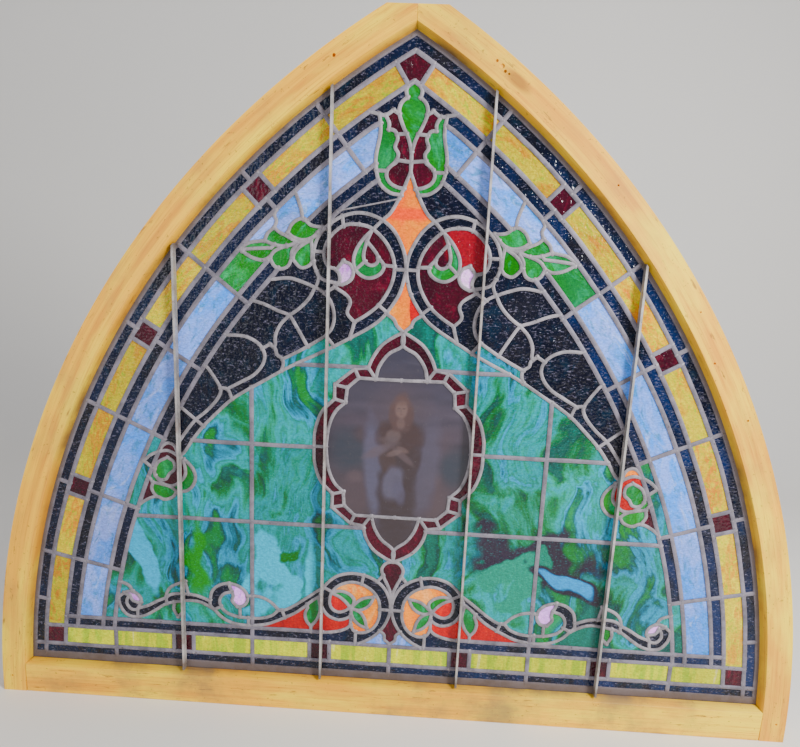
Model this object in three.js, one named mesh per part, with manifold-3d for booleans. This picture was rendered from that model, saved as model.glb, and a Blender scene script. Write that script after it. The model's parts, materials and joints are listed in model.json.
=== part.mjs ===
// Pointed-arch stained glass window in its wooden sash, made to be built into a wall.
// Millimetres, +Z up. The front of the window faces -Y and the sash stands on z = 0 at the origin.
// A plan drawn in x and z gives every lead; the right half is drawn and the left half mirrors it.
import * as THREE from 'three';
import { mergeVertices } from 'three/addons/utils/BufferGeometryUtils.js';
import Module from 'manifold-3d';

const wasm = await Module();
wasm.setup();

// ---- Driving dimensions ----

// The arch: each side is an arc about a centre on the far side of the axis.
const HALF_WIDTH = 607;
const ARC_CENTRE_X = 587;
const ARC_CENTRE_Z = -9;
const OUTER_RADIUS = HALF_WIDTH + ARC_CENTRE_X;
const CREST_HEIGHT = 1008;

// The sash section: a face, a bevel down to the sight line, a groove for the panel, a sloped back.
const SASH_FRONT = -19;
const SASH_BACK = 19;
const FACE_RADIUS = 1158;
const SIGHT_RADIUS = 1152.5;
const BACK_RADIUS = 1163;
const FACE_LINE = 48;
const SIGHT_LINE = 54;
const BACK_LINE = 43;
const GROOVE_DEPTH = 8;
const SHOULDER_X = 581;
const MITRE_RUN = 20;
const MITRE_RISE = 15;

// The leaded panel.
const LEAD_FRONT = -7.2;
const LEAD_BACK = -0.8;
const GLASS_FRONT = -5.5;
const GLASS_BACK = -2.5;
const PANEL_CLEARANCE = 1.5;
const GAP = 0.3;
const PERIMETER_LEAD = 12.5;
const BORDER_LEAD = 6.4;
const ORNAMENT_LEAD = 5;
const LEAD_OVERRUN = 1.7;
const EASE = 2.8;

// Lead lines of the border, outside in, as radii of the sides and heights along the foot.
const NAVY_EDGE = 1132;
const AMBER_EDGE = 1101;
const BLUE_OUTER = 1082.5;
const BLUE_INNER = 1043;
const FIELD_EDGE = 1025;
const FOOT_NAVY = 79;
const FOOT_AMBER = 111;
const FOOT_FIELD = 128;
const FOOT_PERIMETER = 56;

// Joints across the border, in degrees about the arc centre.
const RUBY_ANGLES = [18.4, 31.7, 45];
const PLAIN_ANGLES = [12.4, 25.05, 38.35, 51.6];
const NAVY_ONLY_ANGLE = 8.35;
const RUBY_HALF_ANGLE = 0.79;
const CROWN_ANGLE = 57.3;
const SPRAY_ANGLES = [41.9, 46.2];
const HEART_ANGLE = 47.3;
const ARC_STEP = 6;

// Foot border: the centres of the rubies and of the plain joints, from the axis.
const FOOT_RUBIES = [108.5, 321];
const FOOT_RUBY_HALF = 15.5;
const MULLION_X = 213;
const MULLION_TOP = 509;
const FOOT_JOINT_X = 429;

// Field, medallion and saddle bars.
const FIELD_HEIGHTS = { top: 545.5, middle: 425, low: 303.5 };
const MEDALLION_MIDDLE = 426.5;
const BAR_POSITIONS = [105, 318];
const BAR_THICKNESS = 3;
const BAR_FRONT = -17.5;
const BAR_BACK = -7.5;

const ROUND_STEPS = 96;
const COLOURS = {
  pine: 0xd9ac63, steel: 0x9a9ca0, lead: 0x8d888c, navy: 0x1b1c30, ruby: 0x4a0d20, amber: 0xc8b43c,
  blue: 0x8fb2e4, teal: 0x2c9a8c, green: 0x0f9440, peach: 0xf0a070, lilac: 0xd8b4dc, smoke: 0x5c5568,
  red: 0xb83240,
};

// ---- Solids ----

function toSolid(geometry) {
  geometry.deleteAttribute('normal');
  geometry.deleteAttribute('uv');
  const merged = mergeVertices(geometry, 1e-4);
  return new wasm.Manifold(new wasm.Mesh({
    numProp: 3,
    vertProperties: Float32Array.from(merged.attributes.position.array),
    triVerts: Uint32Array.from(merged.index.array),
  }));
}

function toMesh(solid, name, material) {
  const mesh = solid.getMesh();
  const geometry = new THREE.BufferGeometry();
  geometry.setAttribute('position', new THREE.BufferAttribute(mesh.vertProperties, 3));
  geometry.setIndex(new THREE.BufferAttribute(mesh.triVerts, 1));
  const result = new THREE.Mesh(geometry, material);
  result.name = name;
  return result;
}

// A plate whose outline is drawn in x and z, filling y from front to back.
function plate(outline, front, back) {
  const shape = new THREE.Shape(outline.map(([x, z]) => new THREE.Vector2(x, z)));
  const geometry = new THREE.ExtrudeGeometry(shape, { depth: back - front, bevelEnabled: false });
  geometry.rotateX(Math.PI / 2);
  geometry.translate(0, back, 0);
  return toSolid(geometry);
}

// A full ring about the arc centre of one side, from a closed section of [radius, y] points.
function ring(section, side) {
  const profile = [...section, section[0]].map(([radius, y]) => new THREE.Vector2(radius, y));
  const geometry = new THREE.LatheGeometry(profile, ROUND_STEPS);
  geometry.translate(-side * ARC_CENTRE_X, 0, ARC_CENTRE_Z);
  return toSolid(geometry);
}

// The pointed area inside both arcs of a radius, above a foot line.
function archPlate(radius, foot, front, back) {
  const disc = (side) => {
    const geometry = new THREE.CylinderGeometry(radius, radius, back - front, ROUND_STEPS);
    geometry.translate(-side * ARC_CENTRE_X, (front + back) / 2, ARC_CENTRE_Z);
    return toSolid(geometry);
  };
  const above = plate([[-HALF_WIDTH, foot], [HALF_WIDTH, foot], [HALF_WIDTH, 1100],
    [-HALF_WIDTH, 1100]], front, back);
  return disc(1).intersect(disc(-1)).intersect(above);
}

// ---- Sash ----

const grooveFront = LEAD_FRONT - GAP;
const grooveBack = LEAD_BACK + GAP;

function stile(side) {
  const section = [
    [OUTER_RADIUS, SASH_FRONT], [OUTER_RADIUS, SASH_BACK], [BACK_RADIUS, SASH_BACK],
    [SIGHT_RADIUS, grooveBack], [SIGHT_RADIUS + GROOVE_DEPTH, grooveBack],
    [SIGHT_RADIUS + GROOVE_DEPTH, grooveFront], [SIGHT_RADIUS, grooveFront],
    [FACE_RADIUS, SASH_FRONT],
  ];
  const extent = [
    [SHOULDER_X - 11, 0], [SHOULDER_X - 11, FACE_LINE],
    [SHOULDER_X - 11 - MITRE_RUN, FACE_LINE + MITRE_RISE], [GAP / 2, FACE_LINE + MITRE_RISE],
    [GAP / 2, CREST_HEIGHT], [HALF_WIDTH + 10, CREST_HEIGHT], [HALF_WIDTH + 10, 0],
  ];
  const area = plate(extent.map(([x, z]) => [side * x, z]), SASH_FRONT - 1, SASH_BACK + 1);
  return ring(section, side).intersect(area);
}

function bottomRail() {
  const section = [
    [SASH_FRONT, 0], [SASH_BACK, 0], [SASH_BACK, BACK_LINE], [grooveBack, SIGHT_LINE],
    [grooveBack, SIGHT_LINE - GROOVE_DEPTH], [grooveFront, SIGHT_LINE - GROOVE_DEPTH],
    [grooveFront, SIGHT_LINE], [SASH_FRONT, FACE_LINE],
  ];
  const shape = new THREE.Shape(section.map(([y, z]) => new THREE.Vector2(y, z)));
  const geometry = new THREE.ExtrudeGeometry(shape, { depth: 2 * HALF_WIDTH, bevelEnabled: false });
  geometry.rotateY(Math.PI / 2);
  geometry.rotateX(Math.PI / 2);
  geometry.translate(-HALF_WIDTH, 0, 0);
  const end = SHOULDER_X - 11 - GAP;
  const mitred = [
    [-end, -1], [end, -1], [end, FACE_LINE], [end - MITRE_RUN, FACE_LINE + MITRE_RISE],
    [-end + MITRE_RUN, FACE_LINE + MITRE_RISE], [-end, FACE_LINE],
  ];
  return toSolid(geometry).intersect(plate(mitred, SASH_FRONT - 1, SASH_BACK + 1));
}

function saddleBar(x) {
  const left = x - BAR_THICKNESS / 2;
  const right = x + BAR_THICKNESS / 2;
  const foot = SIGHT_LINE + GAP;
  const blank = plate([[left, foot], [right, foot], [right, 1000], [left, 1000]], BAR_FRONT, BAR_BACK);
  return blank.intersect(archPlate(SIGHT_RADIUS - GAP, foot, BAR_FRONT, BAR_BACK));
}

// ---- Lead plan ----

// A lead with a heart parts two pieces of glass. A strap only crosses a piece, front and back.
const heart = (...points) => ({ points, parts: true, width: ORNAMENT_LEAD });
const strap = (...points) => ({ points, parts: false, width: BORDER_LEAD });
const wide = (lead) => ({ ...lead, width: BORDER_LEAD });
const flipped = (lead, middle) => (
  { ...lead, points: lead.points.map(([x, z]) => [x, 2 * middle - z]) }
);

function onArc(radius, degrees) {
  const angle = THREE.MathUtils.degToRad(degrees);
  return [radius * Math.cos(angle) - ARC_CENTRE_X, radius * Math.sin(angle) + ARC_CENTRE_Z];
}

const angleAtHeight = (radius, z) => THREE.MathUtils.radToDeg(Math.asin((z - ARC_CENTRE_Z) / radius));
const angleAtAxis = (radius) => THREE.MathUtils.radToDeg(Math.acos(ARC_CENTRE_X / radius));

function arc(radius, from, to) {
  const steps = Math.max(1, Math.round((to - from) / ARC_STEP));
  return Array.from({ length: steps + 1 }, (_, i) => onArc(radius, from + ((to - from) * i) / steps));
}

const across = (outer, inner, degrees) => [onArc(outer, degrees), onArc(inner, degrees)];

function borderLeads() {
  const low = (radius, z) => angleAtHeight(radius, z);
  const leads = [
    heart(...arc(NAVY_EDGE, low(NAVY_EDGE, FOOT_NAVY), angleAtAxis(NAVY_EDGE))),
    strap(...arc(NAVY_EDGE, low(NAVY_EDGE, FOOT_PERIMETER), low(NAVY_EDGE, FOOT_NAVY))),
    heart(...arc(AMBER_EDGE, low(AMBER_EDGE, FOOT_NAVY), angleAtAxis(AMBER_EDGE))),
    heart(...arc(BLUE_OUTER, low(BLUE_OUTER, FOOT_FIELD), 54.3)),
    heart(...arc(BLUE_INNER, low(BLUE_INNER, FOOT_FIELD), SPRAY_ANGLES[0])),
    heart(...arc(BLUE_INNER, SPRAY_ANGLES[1], 52.6)),
    heart(...arc(FIELD_EDGE, low(FIELD_EDGE, FOOT_FIELD), SPRAY_ANGLES[0])),
    strap(...arc(FIELD_EDGE, HEART_ANGLE, 52)),
    heart(...across(NAVY_EDGE, AMBER_EDGE, CROWN_ANGLE)),
    strap(...across(SIGHT_RADIUS, NAVY_EDGE, NAVY_ONLY_ANGLE)),
  ];
  for (const radius of [BLUE_OUTER, BLUE_INNER, FIELD_EDGE]) {
    leads.push(strap(...arc(radius, low(radius, FOOT_AMBER), low(radius, FOOT_FIELD))));
  }
  for (const angle of PLAIN_ANGLES) {
    const inner = angle > SPRAY_ANGLES[1] ? BLUE_INNER : FIELD_EDGE;
    leads.push(strap(...across(SIGHT_RADIUS, inner, angle)));
  }
  for (const angle of RUBY_ANGLES) {
    const inner = angle > SPRAY_ANGLES[0] ? BLUE_OUTER : FIELD_EDGE;
    leads.push(strap(...across(SIGHT_RADIUS, NAVY_EDGE, angle)));
    leads.push(strap(...across(AMBER_EDGE, inner, angle)));
    leads.push(strap(...across(NAVY_EDGE, AMBER_EDGE, angle - RUBY_HALF_ANGLE)));
    leads.push(strap(...across(NAVY_EDGE, AMBER_EDGE, angle + RUBY_HALF_ANGLE)));
  }
  return leads.map(wide);
}

function footLeads() {
  const reach = (radius, z) => onArc(radius, angleAtHeight(radius, z))[0];
  const level = (z, x) => [[0, z], [x, z]];
  const crossing = (from, to) => [from, to].map((radius) => [reach(radius, FOOT_FIELD), FOOT_FIELD]);
  const leads = [
    heart(...level(FOOT_NAVY, reach(SIGHT_RADIUS, FOOT_NAVY))),
    heart(...level(FOOT_AMBER, reach(NAVY_EDGE, FOOT_AMBER))),
    heart([104, FOOT_FIELD], [reach(FIELD_EDGE, FOOT_FIELD), FOOT_FIELD]),
    strap(...crossing(FIELD_EDGE, BLUE_INNER)),
    heart(...crossing(BLUE_INNER, BLUE_OUTER)),
    strap(...crossing(BLUE_OUTER, AMBER_EDGE)),
    strap([0, FOOT_PERIMETER], [0, FOOT_AMBER]),
    strap([FOOT_JOINT_X, FOOT_PERIMETER], [FOOT_JOINT_X, FOOT_AMBER]),
  ];
  for (const x of FOOT_RUBIES) {
    leads.push(strap([x - FOOT_RUBY_HALF, FOOT_NAVY], [x - FOOT_RUBY_HALF, FOOT_AMBER]));
    leads.push(strap([x + FOOT_RUBY_HALF, FOOT_NAVY], [x + FOOT_RUBY_HALF, FOOT_AMBER]));
  }
  return leads.map(wide);
}

function fieldLeads() {
  return [
    strap([48, FIELD_HEIGHTS.top], [150, FIELD_HEIGHTS.top]),
    strap([122, FIELD_HEIGHTS.middle], [300, FIELD_HEIGHTS.middle]),
    strap([47, FIELD_HEIGHTS.low], [390, FIELD_HEIGHTS.low]),
    strap([MULLION_X, FOOT_PERIMETER], [MULLION_X, MULLION_TOP]),
  ];
}

function medallionLeads() {
  const middle = MEDALLION_MIDDLE;
  const upper = [
    heart([122, middle], [121, 450], [112, 478], [94, 498], [94, 519], [66, 543], [47, 546]),
    heart([105, middle], [101, 458], [92, 480], [78, 494], [76, 515], [60, 530], [0, 530]),
  ];
  return [
    ...upper,
    ...upper.map((lead) => flipped(lead, middle)),
    heart([47, 546], [41, 561], [29, 579], [13, 591], [0, 598]),
    heart([36, 530], [32, 548], [19, 567], [0, 580], [0, 598]),
    heart([47, 307], [42, 288], [30, 270], [13, 258], [0, 252]),
    heart([35, 323], [30, 305], [19, 287], [0, 270], [0, 252]),
  ];
}

function tulipLeads() {
  return [
    heart([0, 922], [7.5, 917], [10.5, 910], [8.5, 903], [16.5, 895], [18.5, 884], [13, 868],
      [5, 852], [0, 836]),
    heart([0, 836], [0, 812], [4, 800], [9, 787], [16, 772], [25, 757], [35, 748]),
    heart([44, 881], [42, 868], [42, 855], [47, 825], [43, 800], [36, 790], [25, 783], [12, 781]),
    heart([44, 881], [36, 880], [26, 886.5], [18, 882]),
  ];
}

function heartLeads() {
  return [
    heart([97, 573], [75, 586], [50, 601], [32, 615], [18, 633], [8, 650], [2.5, 668], [0.5, 683],
      [3, 703], [12, 724], [22, 738], [35, 748], [50, 754], [66, 756], [82, 753], [97, 746],
      [112, 734], [122, 720], [127, 705]),
    heart([127, 705], [127, 690], [122, 676], [114, 666], [93, 661]),
    heart([97, 656], [80, 645], [75, 636], [79, 621], [69, 609], [52, 620], [36, 634], [25, 650],
      [18, 667], [16, 683], [19, 700], [28, 717], [40, 730], [52, 738], [66, 741]),
    heart([66, 741], [82, 740], [95, 733], [106, 721], [112, 706], [111, 692], [105, 683],
      [95, 680], [90, 666], [97, 656]),
    heart([24, 622], [14, 615], [10, 607], [0, 598]),
  ];
}

function sprayLeads() {
  return [
    heart([163, 726], [157, 738], [147, 745], [140, 744], [131, 737], [112, 735]),
    heart([140, 744], onArc(BLUE_INNER, SPRAY_ANGLES[1])),
    heart([165, 722], [174, 726], [181, 732], [190, 724], [194, 714], [202, 713], [216, 710],
      onArc(BLUE_OUTER, 40.9)),
    heart([226, 699], [212, 691], [197, 688], [187, 692], [181, 681], [172, 677], [162, 681],
      [157, 692], [155, 690], [144, 680], [133, 683], [128, 690]),
    heart(onArc(BLUE_INNER, SPRAY_ANGLES[0]), [187, 692]),
  ];
}

function wingLeads() {
  return [
    heart([322, 400], [314, 404], [300, 425], [284, 447], [262, 470], [242, 489], [222, 503],
      [196, 519], [170, 535], [148, 547], [120, 561], [97, 573]),
  ];
}

function flowerLeads() {
  return [
    heart([374, 390], [362, 400], [348, 406], [335, 407], [322, 400], [310, 392], [300, 380],
      [297, 368], [301, 355], [311, 346], [325, 344], [331, 336], [344, 331], [357, 335],
      [375, 327], [387, 317]),
  ];
}

function scrollLeads() {
  return [
    heart([104, 203], [118, 193], [150, 169], [165, 161], [172, 161], [181, 152], [196, 146],
      [215, 144], [235, 145], [251, 150], [261, 160], [263, 172], [257, 182], [244, 187]),
    heart([107, 190], [120, 181], [134, 168], [148, 157], [174, 143], [190, 136], [207, 132.5],
      [225, 131], [245, 134], [261, 143], [272, 155]),
    heart([278, 170], [275, 185], [266, 195], [253, 200], [240, 199], [228, 193], [221, 183],
      [221, 172], [227, 164], [236, 162], [244, 172], [242, 180], [244, 187]),
    heart([244, 187], [249, 199]),
  ];
}

function cornerScrollLeads() {
  return [
    heart([272, 155], [290, 165], [305, 168], [322, 166], [346, 160], [362, 149], [379, 138],
      [394, 134], [408, 136], [417, 146], [421, 158], [421, 166]),
    heart([421, 166], [409, 175], [399, 176.5], [390, 171], [386, 163], [391, 149], [376, 154],
      [361, 163], [347, 170], [341, 175], [330, 178], [303, 177.5], [290, 174], [278, 169]),
  ];
}

function rosetteLeads() {
  return [
    heart([48, 112], [33, 120], [18, 133], [7, 150], [1, 172], [4, 193], [15, 212], [35, 225],
      [60, 229.5], [82, 224], [98, 211], [107, 195], [108, 180], [103, 166], [94, 156], [80, 151],
      [68, 154], [61, 161], [62, 173]),
    heart([104, FOOT_FIELD], [92, 129], [78, 132], [67, 137], [61, 143], [55, 133], [42, 131],
      [28, 138], [19, 153], [17, 172], [21, 191], [35, 207], [58, 215], [79, 209], [91, 196],
      [94, 181], [90, 169], [80, 164], [70, 167], [62, 173]),
    heart([61, 161], [61, 143]),
    heart([0, 252], [9, 250], [16, 240], [14, 229], [7, 214], [2, 200], [1, 174]),
  ];
}

function leadPlan() {
  const half = [
    ...borderLeads(), ...footLeads(), ...fieldLeads(), ...medallionLeads(), ...tulipLeads(),
    ...heartLeads(), ...sprayLeads(), ...wingLeads(), ...flowerLeads(), ...scrollLeads(),
    ...cornerScrollLeads(), ...rosetteLeads(),
  ];
  const mirrored = half.map((lead) => ({ ...lead, points: lead.points.map(([x, z]) => [-x, z]) }));
  return [...half, ...mirrored];
}

// The run of points with those left out that lie within a tolerance of the straight line past them.
function eased(points, tolerance) {
  const [start, end] = [points[0], points.at(-1)].map(([x, z]) => new THREE.Vector3(x, 0, z));
  const chord = new THREE.Line3(start, end);
  const strays = points.map(([x, z]) => {
    const point = new THREE.Vector3(x, 0, z);
    return chord.closestPointToPoint(point, true, new THREE.Vector3()).distanceTo(point);
  });
  const worst = strays.indexOf(Math.max(...strays));
  if (strays[worst] <= tolerance) {
    return [points[0], points.at(-1)];
  }
  const before = eased(points.slice(0, worst + 1), tolerance);
  return [...before.slice(0, -1), ...eased(points.slice(worst), tolerance)];
}

// The outline of a strip of a width along a run of points, mitred at its bends.
function stripOutline(points, width) {
  const place = points.map(([x, z]) => new THREE.Vector2(x, z));
  const along = place.slice(1).map((end, i) => end.clone().sub(place[i]).normalize());
  place[0].addScaledVector(along[0], -LEAD_OVERRUN);
  place.at(-1).addScaledVector(along.at(-1), LEAD_OVERRUN);
  const offsets = place.map((_, i) => {
    const before = along[Math.max(i - 1, 0)];
    const after = along[Math.min(i, along.length - 1)];
    const normal = new THREE.Vector2(-before.y - after.y, before.x + after.x).normalize();
    const stretch = Math.max(0.55, normal.dot(new THREE.Vector2(-after.y, after.x)));
    return normal.multiplyScalar(width / 2 / stretch);
  });
  const left = place.map((point, i) => point.clone().add(offsets[i]).toArray());
  const right = place.map((point, i) => point.clone().sub(offsets[i]).toArray());
  return [...left, ...right.reverse()];
}

function joined(solids) {
  return solids.reduce((whole, solid) => whole.add(solid));
}

function leadSolids(leads, front, back, growth = 0) {
  return leads.map(({ points, width }) => {
    const run = width === BORDER_LEAD ? points : eased(points, EASE);
    return plate(stripOutline(run, width + growth), front, back);
  });
}

// ---- Panel ----

const panelRadius = SIGHT_RADIUS + GROOVE_DEPTH - PANEL_CLEARANCE;
const panelFoot = SIGHT_LINE - GROOVE_DEPTH + PANEL_CLEARANCE;
const openRadius = panelRadius - PERIMETER_LEAD;
const openFoot = panelFoot + PERIMETER_LEAD + 5;
const plan = leadPlan();
const parting = plan.filter((lead) => lead.parts);
const straps = plan.filter((lead) => !lead.parts);

function leadNet() {
  const rim = archPlate(panelRadius, panelFoot, LEAD_FRONT, LEAD_BACK)
    .subtract(archPlate(openRadius, openFoot, LEAD_FRONT - 1, LEAD_BACK + 1));
  const inside = archPlate(openRadius + 3, openFoot - 3, LEAD_FRONT, LEAD_BACK);
  const hearts = joined(leadSolids(parting, LEAD_FRONT, LEAD_BACK));
  const front = joined(leadSolids(straps, LEAD_FRONT, GLASS_FRONT - GAP));
  return hearts.add(front).intersect(inside).add(rim);
}

function glassSheets() {
  const sheet = archPlate(openRadius - GAP, openFoot + GAP, GLASS_FRONT, GLASS_BACK);
  const cuts = joined(leadSolids(parting, GLASS_FRONT - 1, GLASS_BACK + 1, 2 * GAP));
  return sheet.subtract(cuts).decompose();
}

// True where the front of a sheet covers the point.
function covers(sheet, x, z) {
  const { vertProperties: position, triVerts: index } = sheet.getMesh();
  const triangle = new THREE.Triangle();
  const point = new THREE.Vector3(x, GLASS_FRONT, z);
  for (let i = 0; i < index.length; i += 3) {
    const corners = [0, 1, 2].map((k) => new THREE.Vector3().fromArray(position, 3 * index[i + k]));
    const facesFront = corners.every((corner) => Math.abs(corner.y - GLASS_FRONT) < 1e-3);
    if (facesFront && triangle.set(...corners).containsPoint(point)) {
      return true;
    }
  }
  return false;
}

// One point inside each piece of glass: pieces on the axis, pieces in pairs, pieces of a side arc.
const SINGLE_PIECES = [
  ['outer_navy', 'navy', 553, 95], ['apex_ruby', 'ruby', 0, 940], ['tulip_heart', 'green', 0, 890],
  ['peach_lozenge', 'peach', 0, 750], ['orange_teardrop', 'peach', 0, 630],
  ['medallion_crown', 'smoke', 0, 550], ['medallion_picture', 'smoke', 0, 430],
  ['medallion_foot', 'smoke', 0, 300], ['palmette', 'ruby', 0, 235], ['ruby_foot', 'ruby', 0, 130],
  ['foot_amber', 'amber', 50, 95], ['foot_outer_navy', 'navy', 50, 71],
];
const PAIRED_PIECES = [
  ['corner_ruby', 'ruby', 525, 95], ['upper_navy', 'navy', 60, 780],
  ['leaf_spray', 'green', 172, 690], ['wing', 'navy', 230, 550], ['heart_ruby', 'ruby', 90, 720],
  ['tulip_petal', 'green', 36, 840], ['field_teal', 'teal', 180, 450],
  ['medallion_border', 'ruby', 114, 440], ['side_flower', 'green', 345, 378],
  ['foot_navy', 'navy', 300, 120], ['scroll', 'navy', 200, 139],
  ['scroll_pearl', 'lilac', 233, 178], ['rosette', 'red', 30, 165],
  ['red_corner', 'red', 150, 145], ['foot_teal', 'teal', 300, 150],
];
const ARC_PIECES = [
  ['amber_border', 'amber', 1116, 30], ['light_blue', 'blue', 1063, 30],
  ['upper_blue', 'blue', 1063, 49], ['inner_navy', 'navy', 1034, 30],
];

const material = (colour, roughness, metalness = 0) => (
  new THREE.MeshStandardMaterial({ color: COLOURS[colour], roughness, metalness })
);

const windowParts = new THREE.Group();
const add = (name, solid, colour, roughness, metalness) => (
  windowParts.add(toMesh(solid, name, material(colour, roughness, metalness)))
);

add('left_stile', stile(-1), 'pine', 0.6);
add('right_stile', stile(1), 'pine', 0.6);
add('bottom_rail', bottomRail(), 'pine', 0.6);
add('lead_net', leadNet(), 'lead', 0.55, 0.6);
for (const [i, x] of [...BAR_POSITIONS.map((at) => -at).reverse(), ...BAR_POSITIONS].entries()) {
  add(`saddle_bar_${i + 1}`, saddleBar(x), 'steel', 0.5, 0.8);
}

const sheets = glassSheets();
const addGlass = (name, colour, x, z) => {
  const sheet = sheets.find((candidate) => covers(candidate, x, z));
  add(name, sheet, colour, 0.2);
};
for (const [name, colour, x, z] of SINGLE_PIECES) {
  addGlass(name, colour, x, z);
}
const pairs = [
  ...PAIRED_PIECES,
  ...ARC_PIECES.map(([name, colour, radius, degrees]) => [name, colour, ...onArc(radius, degrees)]),
];
for (const [name, colour, x, z] of pairs) {
  addGlass(`${name}_left`, colour, -x, z);
  addGlass(`${name}_right`, colour, x, z);
}

export default windowParts;
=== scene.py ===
"""Pointed-arch stained glass window: a pine sash over a leaded panel with a painted medallion.

The plan of the leads is drawn in millimetres, x to the right and z up from the underside of the sash,
and the right half is mirrored to the left. Everything is made in metres in the frame's own axes.
"""

import functools
import json
import math
import random

import bmesh
import bpy
import numpy as np
from mathutils import Matrix, Vector, geometry, noise

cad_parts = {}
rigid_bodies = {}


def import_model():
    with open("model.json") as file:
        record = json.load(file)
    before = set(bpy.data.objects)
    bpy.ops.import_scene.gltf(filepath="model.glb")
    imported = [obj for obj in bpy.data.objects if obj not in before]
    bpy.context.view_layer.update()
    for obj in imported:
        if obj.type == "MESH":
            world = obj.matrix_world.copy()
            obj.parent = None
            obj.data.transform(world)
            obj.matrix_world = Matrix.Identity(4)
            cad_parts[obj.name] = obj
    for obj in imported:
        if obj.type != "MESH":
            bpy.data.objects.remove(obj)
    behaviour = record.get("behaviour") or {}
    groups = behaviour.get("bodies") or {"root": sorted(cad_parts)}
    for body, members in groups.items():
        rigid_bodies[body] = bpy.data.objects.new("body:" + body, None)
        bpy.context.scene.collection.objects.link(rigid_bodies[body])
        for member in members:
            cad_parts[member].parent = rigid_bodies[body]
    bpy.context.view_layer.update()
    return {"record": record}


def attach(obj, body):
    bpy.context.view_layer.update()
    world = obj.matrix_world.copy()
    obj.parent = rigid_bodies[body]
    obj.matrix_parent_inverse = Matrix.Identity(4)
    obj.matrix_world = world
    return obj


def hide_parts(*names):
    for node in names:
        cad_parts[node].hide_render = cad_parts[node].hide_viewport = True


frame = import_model()

bl_info = {
    "name": "Pointed Arch Stained Glass Window",
    "version": (1, 0, 0),
    "blender": (4, 5, 0),
    "location": "View3D > Sidebar > Window",
    "description": "Builds a leaded glass window in its wooden sash",
    "category": "Object",
}

MM = 0.001

# The arch and the border, as radii about the arc centre of each side and heights along the foot.
HALF_WIDTH = 607.0
ARC_X = 587.0
ARC_Z = -9.0
CREST = 1008.0
SIGHT_RADIUS = 1152.5
SIGHT_LINE = 54.0
FACE_RADIUS = 1158.0
FACE_LINE = 48.0
BACK_RADIUS = 1163.0
PANEL_RADIUS = 1159.0
PANEL_FOOT = 47.5
RIM_RADIUS = 1148.5
RIM_CENTRE = 1152.75
RIM_LINE = 60.0
SASH_FRONT = -19.0
SASH_BACK = 19.0
NAVY_EDGE = 1132.0
AMBER_EDGE = 1101.0
BLUE_OUTER = 1082.5
BLUE_INNER = 1043.0
FIELD_EDGE = 1025.0
BANDS = (NAVY_EDGE, AMBER_EDGE, BLUE_OUTER, BLUE_INNER, FIELD_EDGE)
FOOT_NAVY = 79.0
FOOT_AMBER = 111.0
FOOT_FIELD = 128.0
RUBY_ANGLES = (18.4, 31.7, 45.0)
RUBY_HALF_ANGLE = 0.79
PLAIN_ANGLES = (12.4, 25.05, 38.35, 51.6)
NAVY_ONLY_ANGLE = 8.35
CROWN_ANGLE = 57.3
SPRAY_LOW = 41.9
SPRAY_HIGH = 46.2
FOOT_RUBIES = (108.5, 321.0)
FOOT_RUBY_HALF = 15.5
FOOT_JOINT = 429.0
MULLION = 213.0

# The glass and the leads lie about this depth.
GLASS_MIDDLE = -4.0


def on_arc(radius, degrees):
    """The plan point at a radius and an angle about the arc centre of the right side."""
    turn = math.radians(degrees)
    return (radius * math.cos(turn) - ARC_X, radius * math.sin(turn) + ARC_Z)


def angle_at_height(radius, z):
    return math.degrees(math.asin((z - ARC_Z) / radius))


def angle_at_axis(radius):
    return math.degrees(math.acos(ARC_X / radius))


def reach(radius, z):
    """How far from the axis an arc stands at a height."""
    return on_arc(radius, angle_at_height(radius, z))[0]


# Leads of the ornament, right half. A point given twice is a sharp corner.
MEDALLION = (
    ((122, 426.5), (121, 450), (112, 478), (94, 498), (94, 498), (94, 519), (94, 519), (66, 543),
     (66, 543), (47, 546)),
    ((105, 426.5), (101, 458), (92, 480), (78, 494), (78, 494), (76, 515), (76, 515), (60, 530),
     (60, 530), (0, 530)),
    ((94, 498), (78, 494)),
    ((94, 519), (76, 515)),
    ((66, 543), (60, 530)),
    ((47, 546), (36, 530)),
    ((122, 426.5), (105, 426.5)),
    ((47, 546), (41, 561), (29, 579), (13, 591), (0, 598)),
    ((36, 530), (32, 548), (19, 567), (0, 580), (0, 598)),
    ((47, 307), (42, 288), (30, 270), (13, 258), (0, 252)),
    ((35, 323), (30, 305), (19, 287), (0, 270), (0, 252)),
)

TULIP = (
    ((0, 922), (7.5, 917), (10.5, 910), (8.5, 903), (16.5, 895), (18.5, 884), (13, 868), (5, 852),
     (0, 836)),
    ((0, 836), (0, 812), (4, 800), (9, 787), (16, 772), (25, 757), (35, 748)),
    ((44, 881), (42, 868), (42, 855), (47, 825), (43, 800), (36, 790), (25, 783), (12, 781)),
    ((57, 884), (44, 881)),
    ((44, 881), (36, 880), (26, 886.5), (18, 882)),
    ((36, 880), (31, 871), (31, 863), (23, 861), (19, 852), (22, 841), (17.5, 833), (20, 824),
     (30, 814)),
    ((20, 857), (8, 858)),
    ((20, 825), (0, 823)),
    ((18, 823), (29, 815), (32, 806), (28, 797), (18, 791), (8, 789)),
    ((46, 811), (32, 811)),
)

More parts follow.
